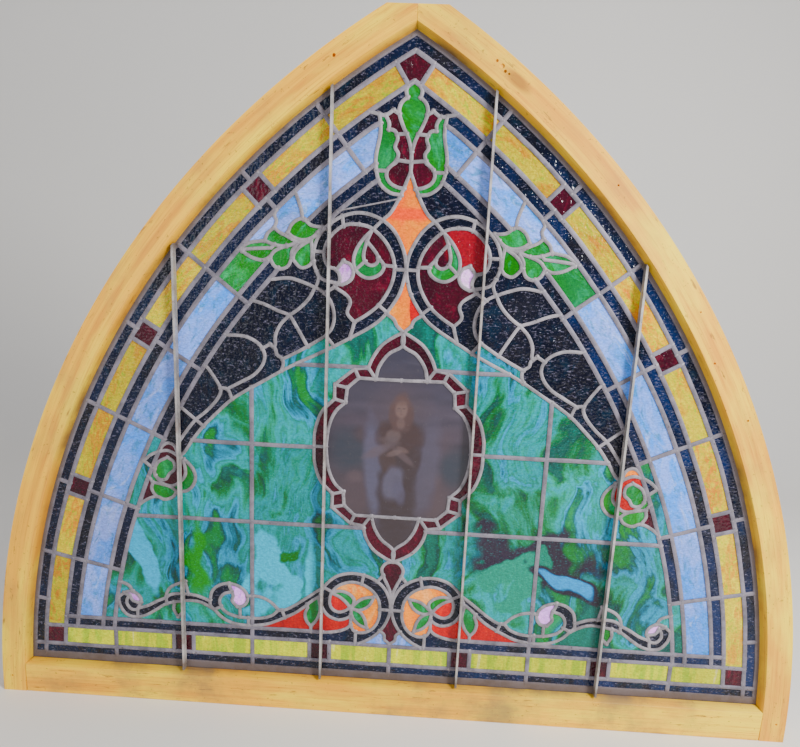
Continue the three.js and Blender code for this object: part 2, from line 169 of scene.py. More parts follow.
HEARTS = (
    ((97, 573), (75, 586), (50, 601), (32, 615), (18, 633), (8, 650), (2.5, 668), (0.5, 683),
     (3, 703), (12, 724), (22, 738), (35, 748), (50, 754), (66, 756), (82, 753), (97, 746),
     (112, 734), (122, 720), (127, 705)),
    ((127, 705), (127, 690), (122, 676), (114, 666), (93, 661)),
    ((97, 656), (80, 645), (75, 636), (79, 621), (69, 609), (52, 620), (36, 634), (25, 650),
     (18, 667), (16, 683), (19, 700), (28, 717), (40, 730), (52, 738), (66, 741)),
    ((66, 741), (82, 740), (95, 733), (106, 721), (112, 706), (111, 692), (105, 683), (95, 680),
     (90, 666), (97, 656)),
    ((95, 680), (86, 691.5), (76, 687), (72, 677), (76, 666), (90, 658)),
    ((69, 609), (71, 600), (75, 587)),
    ((123, 654), (111, 647), (101, 633), (97, 614), (100, 599), (108, 588), (97, 575)),
    ((122, 676), (119, 667), (123, 654)),
    ((97, 656), (111, 647)),
    ((47, 735), (58, 724), (67, 711), (72, 697), (71, 684), (64, 675), (53, 670), (42, 672),
     (33, 679), (31, 688), (39, 698)),
    ((49, 733), (55, 719), (46, 709), (39, 698), (41, 690), (49, 687), (57, 692), (59, 702),
     (55, 719)),
    ((69, 681), (58, 691)),
    ((31, 688), (17, 687)),
    ((89, 751), (87, 739)),
    ((35, 748), (47, 735)),
    ((0.5, 683), (16, 683)),
    ((24, 624), (36, 634)),
    ((127, 703), (112, 703)),
    ((24, 622), (14, 615), (10, 607), (0, 598)),
)

SPRAYS = (
    ((163, 726), (157, 738), (147, 745), (140, 744), (131, 737), (112, 735)),
    ((140, 744), on_arc(BLUE_INNER, SPRAY_HIGH)),
    ((163, 726), (155, 720), (141, 717), (128, 722), (116, 735)),
    ((165, 722), (174, 726), (181, 732), (190, 724), (194, 714), (202, 713), (216, 710),
     on_arc(BLUE_OUTER, 40.9)),
    ((165, 722), (150, 714)),
    ((194, 714), (180, 709), (165, 708), (150, 713), (135, 717), (122, 726)),
    ((226, 701), (208, 703), (182, 705)),
    ((226, 699), (212, 691), (197, 688), (187, 692), (181, 681), (172, 677), (162, 681),
     (157, 692), (155, 690), (144, 680), (133, 683), (128, 690)),
    ((187, 692), (180, 701), (165, 708)),
    ((157, 692), (157, 700), (150, 712)),
    ((155, 690), (154, 698), (146, 708), (131, 718), (129, 705), (129, 690)),
    (on_arc(BLUE_INNER, SPRAY_LOW), (187, 692)),
    ((181, 732), (178, 741), (181, 749), (176, 759)),
    ((143, 745), (145, 757), (153, 780)),
)

WINGS = (
    ((322, 400), (314, 404), (300, 425), (284, 447), (262, 470), (242, 489), (222, 503),
     (196, 519), (170, 535), (148, 547), (120, 561), (97, 573)),
    ((322, 418), (310, 436), (295, 456), (278, 471), (263, 488), (257, 502), (262, 514),
     (277, 536)),
    ((257, 506), (247, 504), (241, 490)),
    ((247, 505), (228, 516), (210, 527), (198, 541), (194, 555), (199, 568), (210, 577),
     (225, 582), (248, 582)),
    ((196, 567), (187, 572), (179, 566), (177, 558), (169, 552), (168, 543), (171, 535)),
    ((169, 552), (150, 562), (131, 573), (108, 588)),
    ((160, 614), (172, 601), (179, 585), (179, 570)),
    ((134, 573), (150, 600), (160, 614), (176, 620), (195, 628), (214, 633)),
    ((160, 614), (145, 625), (132, 639), (124, 654), (140, 660), (160, 665), (186, 662)),
    ((315, 473), (300, 461), (284, 448)),
)

FLOWERS = (
    ((350, 406), (344, 415), (335, 419), (326, 414), (322, 400)),
    ((374, 390), (362, 400), (348, 406), (335, 407), (322, 400), (310, 392), (300, 380),
     (297, 368), (301, 355), (311, 346), (325, 344), (331, 336), (344, 331), (357, 335),
     (375, 327), (387, 317)),
    ((374, 390), (358, 378), (352, 389), (338, 397), (329, 391), (328, 379), (336, 371),
     (341, 363), (350, 362), (357, 368), (358, 378)),
    ((357, 368), (348, 357), (335, 353), (325, 356), (313, 369), (312, 382), (315, 394)),
    ((325, 344), (334, 351), (348, 355), (361, 357), (363, 346), (357, 335)),
    ((361, 357), (367, 366)),
)

SCROLLS = (
    ((104, 203), (118, 193), (150, 169), (165, 161), (172, 161), (181, 152), (196, 146),
     (215, 144), (235, 145), (251, 150), (261, 160), (263, 172), (257, 182), (244, 187)),
    ((107, 190), (120, 181), (134, 168), (148, 157), (174, 143), (190, 136), (207, 132.5),
     (225, 131), (245, 134), (261, 143), (272, 155)),
    ((272, 155), (278, 162), (278, 170)),
    ((278, 170), (275, 185), (266, 195), (253, 200), (240, 199), (228, 193), (221, 183),
     (221, 172), (227, 164), (236, 162), (244, 172), (242, 180), (244, 187)),
    ((244, 187), (249, 199)),
    ((172, 161), (184, 173), (198, 180), (214, 182), (222, 180)),
    ((232, 163), (232, 146)),
    ((274, 154), (261, 161)),
    ((219, 144), (219, 131.5)),
    ((167, 162), (163, 150)),
)

CORNER_SCROLLS = (
    ((272, 155), (290, 165), (305, 168), (322, 166), (346, 160), (362, 149), (379, 138),
     (394, 134), (408, 136), (417, 146), (421, 158), (421, 166)),
    ((421, 166), (409, 175), (399, 176.5), (390, 171), (386, 163), (391, 149), (376, 154),
     (361, 163), (347, 170), (341, 175), (330, 178), (303, 177.5), (290, 174), (278, 169)),
    ((391, 147), (401, 146), (408, 154), (408, 163), (404, 169)),
    ((412, 172), (404, 169), (399, 161), (388, 158)),
    ((392, 146), (393, 134)),
    ((417, 192), (404, 186), (399, 177)),
    ((347, 170), (346, 160)),
    ((347, 170), (345, 180), (337, 190), (317, 199), (312, 178)),
    ((334, 162), (335, 151), (329, 139), (321, 148), (320, 165)),
)

ROSETTES = (
    ((48, 112), (33, 120), (18, 133), (7, 150), (1, 172), (4, 193), (15, 212), (35, 225),
     (60, 229.5), (82, 224), (98, 211), (107, 195), (108, 180), (103, 166), (94, 156), (80, 151),
     (68, 154), (61, 161), (62, 173)),
    ((104, FOOT_FIELD), (92, 129), (78, 132), (67, 137), (61, 143), (55, 133), (42, 131),
     (28, 138), (19, 153), (17, 172), (21, 191), (35, 207), (58, 215), (79, 209), (91, 196),
     (94, 181), (90, 169), (80, 164), (70, 167), (62, 173)),
    ((61, 161), (61, 143)),
    ((43, 227), (46, 213)),
    ((1, 172), (17, 172)),
    ((103, 203), (91, 197)),
    ((53, 132), (53, 112)),
    ((62, 172), (58, 178), (57, 187), (66, 196), (80, 199), (92, 195), (80, 190), (70, 182),
     (62, 172)),
    ((62, 172), (45, 188), (26, 193), (34, 177), (48, 169), (62, 172)),
    ((62, 172), (48, 166), (40, 155), (36, 139), (48, 144), (58, 155), (62, 172)),
    ((126, 171), (131, 158), (129, 146), (122, 137), (113, 149), (108, 166), (111, 188)),
    ((122, 137), (122, 128)),
    ((0, 252), (9, 250), (16, 240), (14, 229), (7, 214), (2, 200), (1, 174)),
    ((14, 229), (22, 219)),
    ((16, 136), (9, 130), (8, 122), (0, 115)),
)

REPAIR_LEAD = ((-96, 757), (-14, 776))
SLIP_LEAD = ((8, 650), (7, 630), (10, 607))


def arc_run(radius, start, end):
    """A run of plan points along an arc, close enough to look round."""
    steps = max(2, round(abs(end - start) / 0.45))
    return [on_arc(radius, start + (end - start) * i / steps) for i in range(steps + 1)]


def straight(start, end, gap=9.0):
    """A straight run of plan points."""
    start, end = Vector(start), Vector(end)
    steps = max(1, round((end - start).length / gap))
    return [tuple(start.lerp(end, i / steps)) for i in range(steps + 1)]


def across(outer, inner, degrees):
    return straight(on_arc(outer, degrees), on_arc(inner, degrees), 6.0)


def border_runs():
    """The wide leads of the arched border, the foot border and the field, right half."""
    runs = [
        arc_run(NAVY_EDGE, angle_at_height(NAVY_EDGE, RIM_LINE), angle_at_axis(NAVY_EDGE)),
        arc_run(AMBER_EDGE, angle_at_height(AMBER_EDGE, FOOT_NAVY), angle_at_axis(AMBER_EDGE)),
        arc_run(BLUE_OUTER, angle_at_height(BLUE_OUTER, FOOT_AMBER), 54.3),
        arc_run(BLUE_INNER, angle_at_height(BLUE_INNER, FOOT_AMBER), SPRAY_LOW),
        arc_run(BLUE_INNER, SPRAY_HIGH, 52.6),
        arc_run(FIELD_EDGE, angle_at_height(FIELD_EDGE, FOOT_AMBER), SPRAY_LOW),
        arc_run(FIELD_EDGE, 47.3, 52.0),
        across(NAVY_EDGE, AMBER_EDGE, CROWN_ANGLE),
        across(RIM_RADIUS, NAVY_EDGE, NAVY_ONLY_ANGLE),
        straight((0, FOOT_NAVY), (reach(RIM_RADIUS, FOOT_NAVY), FOOT_NAVY)),
        straight((0, FOOT_AMBER), (reach(NAVY_EDGE, FOOT_AMBER), FOOT_AMBER)),
        straight((104, FOOT_FIELD), (reach(AMBER_EDGE, FOOT_FIELD), FOOT_FIELD)),
        straight((0, RIM_LINE), (0, FOOT_AMBER)),
        straight((FOOT_JOINT, RIM_LINE), (FOOT_JOINT, FOOT_AMBER)),
        straight((MULLION, RIM_LINE), (MULLION, 145)),
        straight((MULLION, 145), (MULLION, 509)),
        straight((48, 545.5), (150, 545.5)),
        straight((122, 425), (300, 425)),
        straight((47, 303.5), (390, 303.5)),
    ]
    for angle in PLAIN_ANGLES:
        inner = BLUE_INNER if angle > SPRAY_HIGH else FIELD_EDGE
        runs.append(across(RIM_RADIUS, inner, angle))
    for angle in RUBY_ANGLES:
        inner = BLUE_OUTER if angle > SPRAY_LOW else FIELD_EDGE
        runs.append(across(RIM_RADIUS, NAVY_EDGE, angle))
        runs.append(across(AMBER_EDGE, inner, angle))
        runs.append(across(NAVY_EDGE, AMBER_EDGE, angle - RUBY_HALF_ANGLE))
        runs.append(across(NAVY_EDGE, AMBER_EDGE, angle + RUBY_HALF_ANGLE))
    for x in FOOT_RUBIES:
        for side in (-FOOT_RUBY_HALF, FOOT_RUBY_HALF):
            runs.append(straight((x + side, FOOT_NAVY), (x + side, FOOT_AMBER)))
    return runs


def flipped(run, middle):
    return [(x, 2 * middle - z) for x, z in run]


def smooth_run(points):
    """Smooth runs through the points, parted at the sharp corners."""
    places = [Vector(point) for point in points]
    parts = [[places[0]]]
    for i in range(1, len(places)):
        last = places[i - 1]
        if (places[i] - last).length < 0.01:
            parts.append([places[i]])
            continue
        parts[-1].append(places[i])
        if i + 1 < len(places) and (places[i + 1] - places[i]).length > 0.01:
            before = places[i] - last
            after = places[i + 1] - places[i]
            if abs(before.angle_signed(after)) > math.radians(58):
                parts.append([places[i]])
    runs = []
    for part in (part for part in parts if len(part) > 1):
        run = [part[0]]
        for i in range(len(part) - 1):
            start, end = part[i], part[i + 1]
            before = part[i - 1] if i else start * 2 - end
            after = part[i + 2] if i + 2 < len(part) else end * 2 - start
            span = (end - start).length
            lean_out = (end - before) * (span / max(1.0, (end - before).length)) / 3
            lean_in = (after - start) * (span / max(1.0, (after - start).length)) / 3
            steps = max(2, round(span / 3.0))
            knots = geometry.interpolate_bezier(
                start.to_3d(), (start + lean_out).to_3d(), (end - lean_in).to_3d(), end.to_3d(),
                steps + 1,
            )
            run.extend(knot.to_2d() for knot in knots[1:])
        runs.append([tuple(point) for point in run])
    return runs


def mirrored(runs):
    """The runs and their mirror images; one that lies on the axis has none."""
    aside = [run for run in runs if max(abs(x) for x, _ in run) > 0.5]
    return runs + [[(-x, z) for x, z in run] for run in aside]


def ornament_runs():
    """The narrow leads of the ornament, both halves."""
    half = list(MEDALLION) + [flipped(run, 426.5) for run in MEDALLION[:6]]
    for group in (TULIP, HEARTS, SPRAYS, WINGS, FLOWERS, SCROLLS, CORNER_SCROLLS, ROSETTES):
        half.extend(group)
    runs = [run for points in half for run in smooth_run(points)]
    return mirrored(runs) + smooth_run(REPAIR_LEAD) + smooth_run(SLIP_LEAD)


def hand_set(run):
    """The run with the small unevenness of hand work."""
    moved = []
    for x, z in run:
        aside, upward = (
            0.7 * noise.noise(Vector((x / 70.0, z / 70.0, layer))) for layer in (3.0, 11.0)
        )
        moved.append((x + aside, z + upward))
    return moved


def rim_loop():
    """The inner edge of the lead that runs round the panel."""
    start = angle_at_height(RIM_RADIUS, RIM_LINE)
    right = arc_run(RIM_RADIUS, start, angle_at_axis(RIM_RADIUS))
    left = [(-x, z) for x, z in reversed(right[:-1])]
    foot = straight(left[-1], right[0])[1:-1]
    return right + left + foot


def met_ends(runs, reach_limit=5.5):
    """Runs whose ends are drawn up to the lead they meet, and the places where they meet."""
    starts = np.array([a for run in runs for a in run[:-1]])
    spans = np.array([b for run in runs for b in run[1:]]) - starts
    owner = np.array([i for i, run in enumerate(runs) for _ in run[:-1]])
    lengths = np.maximum((spans**2).sum(axis=1), 1e-9)
    joined, meetings = [], []
    for i, run in enumerate(runs):
        run = list(run)
        for end in (0, -1):
            point = np.array(run[end])
            share = np.clip(((point - starts) * spans).sum(axis=1) / lengths, 0, 1)
            feet = starts + spans * share[:, None]
            gaps = np.hypot(*(feet - point).T)
            gaps[owner == i] = 1e9
            nearest = int(gaps.argmin())
            if gaps[nearest] < reach_limit:
                foot = feet[nearest]
                inward = np.array(run[1 if end == 0 else -2])
                past = foot - inward
                foot = foot + past / max(1e-6, np.hypot(*past)) * 0.3
                run[end] = tuple(foot)
                meetings.append(tuple(foot))
        joined.append(run)
    return joined, meetings


def cut_cells(runs):
    """The panes that the leads part, each a list of triangles with their plan points."""
    points, edges, index = [], [], {}

    def number(point):
        key = (round(point[0], 3), round(point[1], 3))
        if key not in index:
            index[key] = len(points)
            points.append(Vector(key))
        return index[key]

    for run in runs:
        for a, b in zip(run, run[1:]):
            first, second = number(a), number(b)
            if first != second:
                edges.append((first, second))
    places, sides, faces, _, side_owners, _ = geometry.delaunay_2d_cdt(points, edges, [], 1, 1e-4)
    walls = {frozenset(side) for side, owners in zip(sides, side_owners) if owners}
    beside = {}
    for i, face in enumerate(faces):
        for a, b in zip(face, face[1:] + face[:1]):
            beside.setdefault(frozenset((a, b)), []).append(i)
    cells, seen = [], set()
    for first in range(len(faces)):
        if first in seen:
            continue
        seen.add(first)
        cell, waiting = [], [first]
        while waiting:
            i = waiting.pop()
            cell.append(i)
            for a, b in zip(faces[i], faces[i][1:] + faces[i][:1]):
                side = frozenset((a, b))
                if side in walls:
                    continue
                for other in beside[side]:
                    if other not in seen:
                        seen.add(other)
                        waiting.append(other)
        triangles = [tuple(tuple(places[k]) for k in faces[i]) for i in cell]
        if sum(geometry.area_tri(*[Vector(p).to_3d() for p in t]) for t in triangles) > 12:
            cells.append(triangles)
    return cells


# A point inside each pane of the ornament, right half, by the glass it is cut from.
PANES = {
    "green": (
        (0, 890), (36, 840), (43, 803), (150, 733), (190, 719), (200, 695), (200, 708), (170, 693),
        (140, 697), (348, 380), (345, 342), (306, 368), (64, 690), (50, 680), (117, 165), (73, 190),
        (42, 183), (48, 155), (326, 152),
    ),
    "ruby": (
        (90, 700), (50, 655), (35, 700), (50, 700), (24, 870), (15, 842), (15, 805), (0, 235),
        (0, 135), (335, 360), (372, 338), (27, 575), (27, 277), (53, 538), (53, 315), (80, 525),
        (80, 328), (86, 508), (86, 345), (113, 460), (113, 392),
    ),
    "lilac": ((236, 180), (84, 680), (399, 171)),
    "peach": ((0, 750), (0, 640), (60, 207)),
    "red": ((68, 178), (90, 141), (150, 143), (50, 138), (30, 160)),
    "teal": (
        (60, 575), (235, 480), (180, 500), (260, 370), (170, 370), (370, 240), (165, 240),
        (195, 163), (240, 160), (226, 150), (325, 188), (340, 320), (150, 557), (385, 320),
        (260, 146), (300, 146), (360, 140), (420, 140), (423, 180),
    ),
    "blue": ((26, 118),),
    "smoke": ((0, 550), (0, 430), (0, 300)),
}
# Panes that differ from side to side, so they are given with their own sign.
ONE_SIDED = {
    "ruby": ((-335, 412),), "peach": ((335, 412),), "red": ((13, 625), (335, 360)),
}


def heart_of(triangles):
    """The middle of the largest triangle of a pane."""
    largest = max(triangles, key=lambda t: geometry.area_tri(*[Vector(p).to_3d() for p in t]))
    return sum((Vector(p) for p in largest), Vector((0, 0))) / 3


def holds(triangles, point):
    place = Vector(point)
    return any(geometry.intersect_point_tri_2d(place, *[Vector(p) for p in t]) for t in triangles)


def border_glass(x, z):
    """The glass of a pane of the borders, or None inside them."""
    x = abs(x)
    radius = math.hypot(x + ARC_X, z - ARC_Z)
    degrees = math.degrees(math.atan2(z - ARC_Z, x + ARC_X))
    if radius > NAVY_EDGE or z < FOOT_NAVY:
        return "navy"
    if z < FOOT_AMBER:
        squares = [abs(x - middle) < FOOT_RUBY_HALF for middle in FOOT_RUBIES]
        return "ruby" if radius > AMBER_EDGE or any(squares) else "amber"
    if radius > AMBER_EDGE:
        squares = [abs(degrees - middle) < RUBY_HALF_ANGLE for middle in RUBY_ANGLES]
        return "ruby" if degrees > CROWN_ANGLE or any(squares) else "amber"
    if radius > BLUE_OUTER or (z < FOOT_FIELD and x > 60):
        return "navy"
    if radius > BLUE_INNER:
        return "blue"
    return "navy" if radius > FIELD_EDGE else None


def pane_glass(triangles):
    """The name of the glass that a pane is cut from."""
    corners = np.array(triangles).reshape(-1, 2)
    low, high = corners.min(axis=0), corners.max(axis=0)
    both = {name: [(s * x, z) for x, z in points for s in (-1, 1)] for name, points in PANES.items()}
    for name, points in (*ONE_SIDED.items(), *both.items()):
        for x, z in points:
            if low[0] < x < high[0] and low[1] < z < high[1] and holds(triangles, (x, z)):
                return name
    return border_glass(*heart_of(triangles)) or "navy"


# ---- Making pieces ----


def piece_from(bm, name, materials, nodes=(), smooth=35.0):
    """A finished piece that rides on the window and stands for its solids."""
    mesh = bpy.data.meshes.new(name)
    bm.to_mesh(mesh)
    bm.free()
    piece = bpy.data.objects.new(name, mesh)
    bpy.context.scene.collection.objects.link(piece)
    for material in materials:
        mesh.materials.append(material)
    mesh.shade_smooth()
    mesh.set_sharp_from_angle(angle=math.radians(smooth))
    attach(piece, "root")
    if nodes:
        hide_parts(*nodes)
    return piece


def nodes_of(slot):
    """The solids of the frame that have a material slot."""
    return [part["node"] for part in frame["record"]["subparts"] if part["material_slot"] == slot]


def gather(whole, part):
    """Adds a small shape to a larger one."""
    mesh = bpy.data.meshes.new("part")
    part.to_mesh(mesh)
    part.free()
    whole.from_mesh(mesh)
    bpy.data.meshes.remove(mesh)


def came(run, width, height):
    """A came along a run of plan points: two flanges and the heart between them, as one bar."""
    bm = bmesh.new()
    section = [
        (-1.0, 0.5), (-0.93, 0.8), (-0.52, 0.97), (0.0, 1.0), (0.52, 0.97), (0.93, 0.8), (1.0, 0.5),
        (1.0, -0.5), (0.93, -0.8), (0.4, -1.0), (-0.4, -1.0), (-0.93, -0.8), (-1.0, -0.5),
    ]
    places = [Vector(point) for point in run]
    along = [(b - a).normalized() for a, b in zip(places, places[1:])]
    steps, sides = len(places) - 1, len(section)
    grid = bmesh.ops.create_grid(bm, x_segments=steps, y_segments=sides, size=0.5)
    for vert in grid["verts"]:
        i = round((vert.co.x + 0.5) * steps)
        across_share, depth_share = section[round((vert.co.y + 0.5) * sides) % sides]
        before, after = along[max(i - 1, 0)], along[min(i, steps - 1)]
        normal = Vector((-before.y - after.y, before.x + after.x)).normalized()
        stretch = max(0.6, normal.dot(Vector((-after.y, after.x))))
        swell = 1 + 0.07 * noise.noise(Vector((places[i].x / 25, places[i].y / 25, 7.0)))
        spot = places[i] + normal * (across_share * width / 2 * swell / stretch)
        vert.co = Vector((spot.x, GLASS_MIDDLE - depth_share * height / 2, spot.y)) * MM
    bmesh.ops.remove_doubles(bm, verts=bm.verts[:], dist=1e-7)
    rims = [edge for edge in bm.edges if edge.is_boundary]
    bmesh.ops.holes_fill(bm, edges=rims, sides=16)
    bmesh.ops.recalc_face_normals(bm, faces=bm.faces[:])
    return bm


def solder(spot, radius, height):
    """A flat pool of solder through a joint."""
    bm = bmesh.new()
    ball = bmesh.ops.create_uvsphere(bm, u_segments=12, v_segments=7, radius=1.0)
    sway = noise.noise(Vector((spot[0] / 9, spot[1] / 9, 1.0)))
    radius = radius * (1 + 0.22 * sway)
    for vert in ball["verts"]:
        depth = math.copysign(abs(vert.co.z) ** 0.7, vert.co.z)
        turn = math.atan2(vert.co.y, vert.co.x)
        uneven = 1 + 0.1 * math.sin(3 * turn + 9 * sway)
        x = spot[0] + vert.co.x * radius * uneven
        z = spot[1] + vert.co.y * radius * uneven
        vert.co = Vector((x, GLASS_MIDDLE - depth * height / 2, z)) * MM
    bmesh.ops.recalc_face_normals(bm, faces=bm.faces[:])
    return bm


def glass_panes(cells, name, thickness):
    """One mesh of the panes of a glass, each a little out of true with its own run of streaks."""
    bm = bmesh.new()
    flow = bm.loops.layers.uv.new("flow")
    mark = bm.loops.layers.float_color.new("pane")
    owner = bm.verts.layers.int.new("number")
    settings = []
    for number, triangles in enumerate(cells):
        middle = heart_of(triangles)
        chance = random.Random(round(middle.x * 7 + middle.y * 131))
        lean = (chance.uniform(-1, 1), chance.uniform(-1, 1))
        shift = (chance.uniform(0, 40), chance.uniform(0, 40))
        in_border = 1.0 if border_glass(*middle) else 0.0
        marks = (chance.random(), chance.random(), in_border, 1.0)
        radial = math.atan2(middle.y - ARC_Z, abs(middle.x) + ARC_X)
        banded = border_glass(*middle) in ("amber", "blue") and middle.y > FOOT_AMBER
        turn = radial * math.copysign(1, middle.x) if banded else 0.0
        turn += chance.uniform(-0.25, 0.25) if name != "teal" else chance.uniform(-0.12, 0.12)
        settings.append((turn, shift, marks))
        corners = {}
        for point in {point for triangle in triangles for point in triangle}:
            tilt = (point[0] - middle.x) * lean[0] + (point[1] - middle.y) * lean[1]
            depth = GLASS_MIDDLE - thickness / 2 + max(-0.35, min(0.35, tilt * 0.004))
            corners[point] = bm.verts.new(Vector((point[0], depth, point[1])) * MM)
            corners[point][owner] = number
        for triangle in triangles:
            face = bm.faces.new([corners[point] for point in triangle])
            face.normal_update()
            if face.normal.y > 0:
                face.normal_flip()
    front = bm.faces[:]
    back = bmesh.ops.extrude_face_region(bm, geom=front, use_keep_orig=True)
    raised = [item for item in back["geom"] if isinstance(item, bmesh.types.BMVert)]
    bmesh.ops.translate(bm, verts=raised, vec=(0, thickness * MM, 0))
    bmesh.ops.recalc_face_normals(bm, faces=bm.faces[:])
    for face in bm.faces:
        for loop in face.loops:
            turn, shift, marks = settings[loop.vert[owner]]
            x, z = loop.vert.co.x * 10, loop.vert.co.z * 10
            loop[flow].uv = (
                x * math.cos(turn) + z * math.sin(turn) + shift[0],
                z * math.cos(turn) - x * math.sin(turn) + shift[1],
            )
            loop[mark] = marks
    return bm


def sash_section():
    """The section of a stile as radius and depth, round the groove that holds the panel."""
    return [
        (HALF_WIDTH + ARC_X, SASH_FRONT), (HALF_WIDTH + ARC_X, SASH_BACK), (BACK_RADIUS, SASH_BACK),
        (SIGHT_RADIUS, -0.5), (SIGHT_RADIUS + 8, -0.5), (SIGHT_RADIUS + 8, -7.5),
        (SIGHT_RADIUS, -7.5), (FACE_RADIUS, SASH_FRONT),
    ]


def stile_shape(side):
    """A stile: its section swept round the arch and cut off at the foot, the crest and the middle."""
    bm = bmesh.new()
    start, end = -4.0, 64.0
    turn = math.radians(start)
    verts = [
        bm.verts.new(
            Vector((r * math.cos(turn) - ARC_X, y, r * math.sin(turn) + ARC_Z)) * MM
        )
        for r, y in sash_section()
    ]
    edges = [bm.edges.new((a, b)) for a, b in zip(verts, verts[1:] + verts[:1])]
    bmesh.ops.spin(
        bm, geom=verts + edges, cent=Vector((-ARC_X, 0, ARC_Z)) * MM, axis=(0, -1, 0),
        angle=math.radians(end - start), steps=136, use_duplicate=False,
    )
    cuts = (
        (Vector((0, 0, 0)), Vector((0, 0, -1))),
        (Vector((0, 0, CREST)), Vector((0, 0, 1))),
        (Vector((0.15, 0, 0)), Vector((-1, 0, 0))),
    )
    for place, outward in cuts:
        bmesh.ops.bisect_plane(
            bm, geom=bm.verts[:] + bm.edges[:] + bm.faces[:], plane_co=place * MM, plane_no=outward,
            clear_outer=True,
        )
        rims = [edge for edge in bm.edges if edge.is_boundary]
        bmesh.ops.holes_fill(bm, edges=rims, sides=0)
    if side < 0:
        bmesh.ops.scale(bm, vec=(-1, 1, 1), verts=bm.verts[:])
    bmesh.ops.recalc_face_normals(bm, faces=bm.faces[:])
    return bm


def prism(outline, front, back):
    """A solid whose outline is drawn in the plan, from front to back."""
    bm = bmesh.new()
    verts = [bm.verts.new(Vector((x, front, z)) * MM) for x, z in outline]
    face = bm.faces.new(verts)
    moved = bmesh.ops.extrude_face_region(bm, geom=[face], use_keep_orig=True)
    raised = [item for item in moved["geom"] if isinstance(item, bmesh.types.BMVert)]
    bmesh.ops.translate(bm, verts=raised, vec=(0, (back - front) * MM, 0))
    bmesh.ops.recalc_face_normals(bm, faces=bm.faces[:])
    return bm


def less(bm, cutter):
    """The shape with the cutter taken out of it."""
    objects = []
    for name, shape in (("blank", bm), ("cutter", cutter)):
        mesh = bpy.data.meshes.new(name)
        shape.to_mesh(mesh)
        shape.free()
        objects.append(bpy.data.objects.new(name, mesh))
        bpy.context.scene.collection.objects.link(objects[-1])
    cut = objects[0].modifiers.new("cut", "BOOLEAN")
    cut.operation = "DIFFERENCE"
    cut.solver = "EXACT"
    cut.object = objects[1]
    graph = bpy.context.evaluated_depsgraph_get()
    result = bmesh.new()
    result.from_object(objects[0], graph)
    for item in objects:
        mesh = item.data
        bpy.data.objects.remove(item)
        bpy.data.meshes.remove(mesh)
    return result


def lay_grain(bm, along):
    """Writes where each point lies in the timber: along it, out from the glass and through it."""
    grain = bm.verts.layers.float_vector.new("grain")
    for vert in bm.verts:
        vert[grain] = along(vert.co)


def stile_grain(place):
    x, z = abs(place.x) / MM + ARC_X, place.z / MM - ARC_Z
    side = 3.0 if place.x > 0 else 9.0
    return Vector((math.atan2(z, x) * 1.18 + side, (math.hypot(x, z) - SIGHT_RADIUS) * MM, place.y))


def rail_grain(place):
    return Vector((place.x + 17.0, SIGHT_LINE * MM - place.z, place.y))


# ---- Materials ----

DEPTH = 1.45


def tone(red, green, blue):
    """A colour given as 0 to 255 in display values, as the linear values the shaders use.

    It is pushed a little away from grey, because the view's film curve pales it.
    """
    plain = [
        c / 3294.6 if c <= 10 else ((c / 255 + 0.055) / 1.055) ** 2.4 for c in (red, green, blue)
    ]
    grey = 0.2126 * plain[0] + 0.7152 * plain[1] + 0.0722 * plain[2]
    return tuple(min(1.0, max(0.0, grey + (c - grey) * DEPTH)) for c in plain) + (1.0,)


def shaded(colour, share):
    """A colour made darker, or paler with a share above one."""
    return tuple(min(1.0, c * share) for c in colour[:3]) + (1.0,)


def add_node(tree, kind, inputs=None, **settings):
    """A new node with its settings. An input is given by name or number, as a value or a socket."""
    made = tree.nodes.new(kind)
    for key, value in settings.items():
        setattr(made, key, value)
    for key, value in (inputs or {}).items():
        if isinstance(value, bpy.types.NodeSocket):
            tree.links.new(value, made.inputs[key])
        else:
            made.inputs[key].default_value = value
    return made


def maths(tree, operation, *values, clamp=False):
    inputs = dict(enumerate(values))
    return add_node(tree, "ShaderNodeMath", inputs, operation=operation, use_clamp=clamp).outputs[0]


def blend(tree, factor, first, second, kind="MIX"):
    """One colour laid over another by a mask."""
    inputs = {0: factor, 6: first, 7: second}
    made = add_node(tree, "ShaderNodeMix", inputs, data_type="RGBA", blend_type=kind)
    return made.outputs[2]


def between(tree, value, low, high):
    """A mask that rises smoothly from low to high."""
    inputs = {"Value": value, "From Min": low, "From Max": high}
    made = add_node(tree, "ShaderNodeMapRange", inputs, interpolation_type="SMOOTHSTEP")
    return made.outputs["Result"]


def clouds(tree, vector, scale, detail=3.0, roughness=0.5, distortion=0.0):
    inputs = {
        "Vector": vector, "Scale": scale, "Detail": detail, "Roughness": roughness,
        "Distortion": distortion,
    }
    return add_node(tree, "ShaderNodeTexNoise", inputs).outputs["Fac"]


def stretched(tree, vector, scale, location=(0, 0, 0), rotation=(0, 0, 0)):
    inputs = {"Vector": vector, "Location": location, "Rotation": rotation, "Scale": scale}
    return add_node(tree, "ShaderNodeMapping", inputs).outputs["Vector"]


def new_group(name, inputs, outputs):
    """An empty shader group with its sockets, and its input and output nodes."""
    group = bpy.data.node_groups.new(name, "ShaderNodeTree")
    for key, kind, default in inputs:
        socket = group.interface.new_socket(name=key, in_out="INPUT", socket_type=kind)
        if default is not None:
            socket.default_value = default
    for key, kind in outputs:
        group.interface.new_socket(name=key, in_out="OUTPUT", socket_type=kind)
    taken = group.nodes.new("NodeGroupInput").outputs
    given = group.nodes.new("NodeGroupOutput").inputs
    return group, taken, given


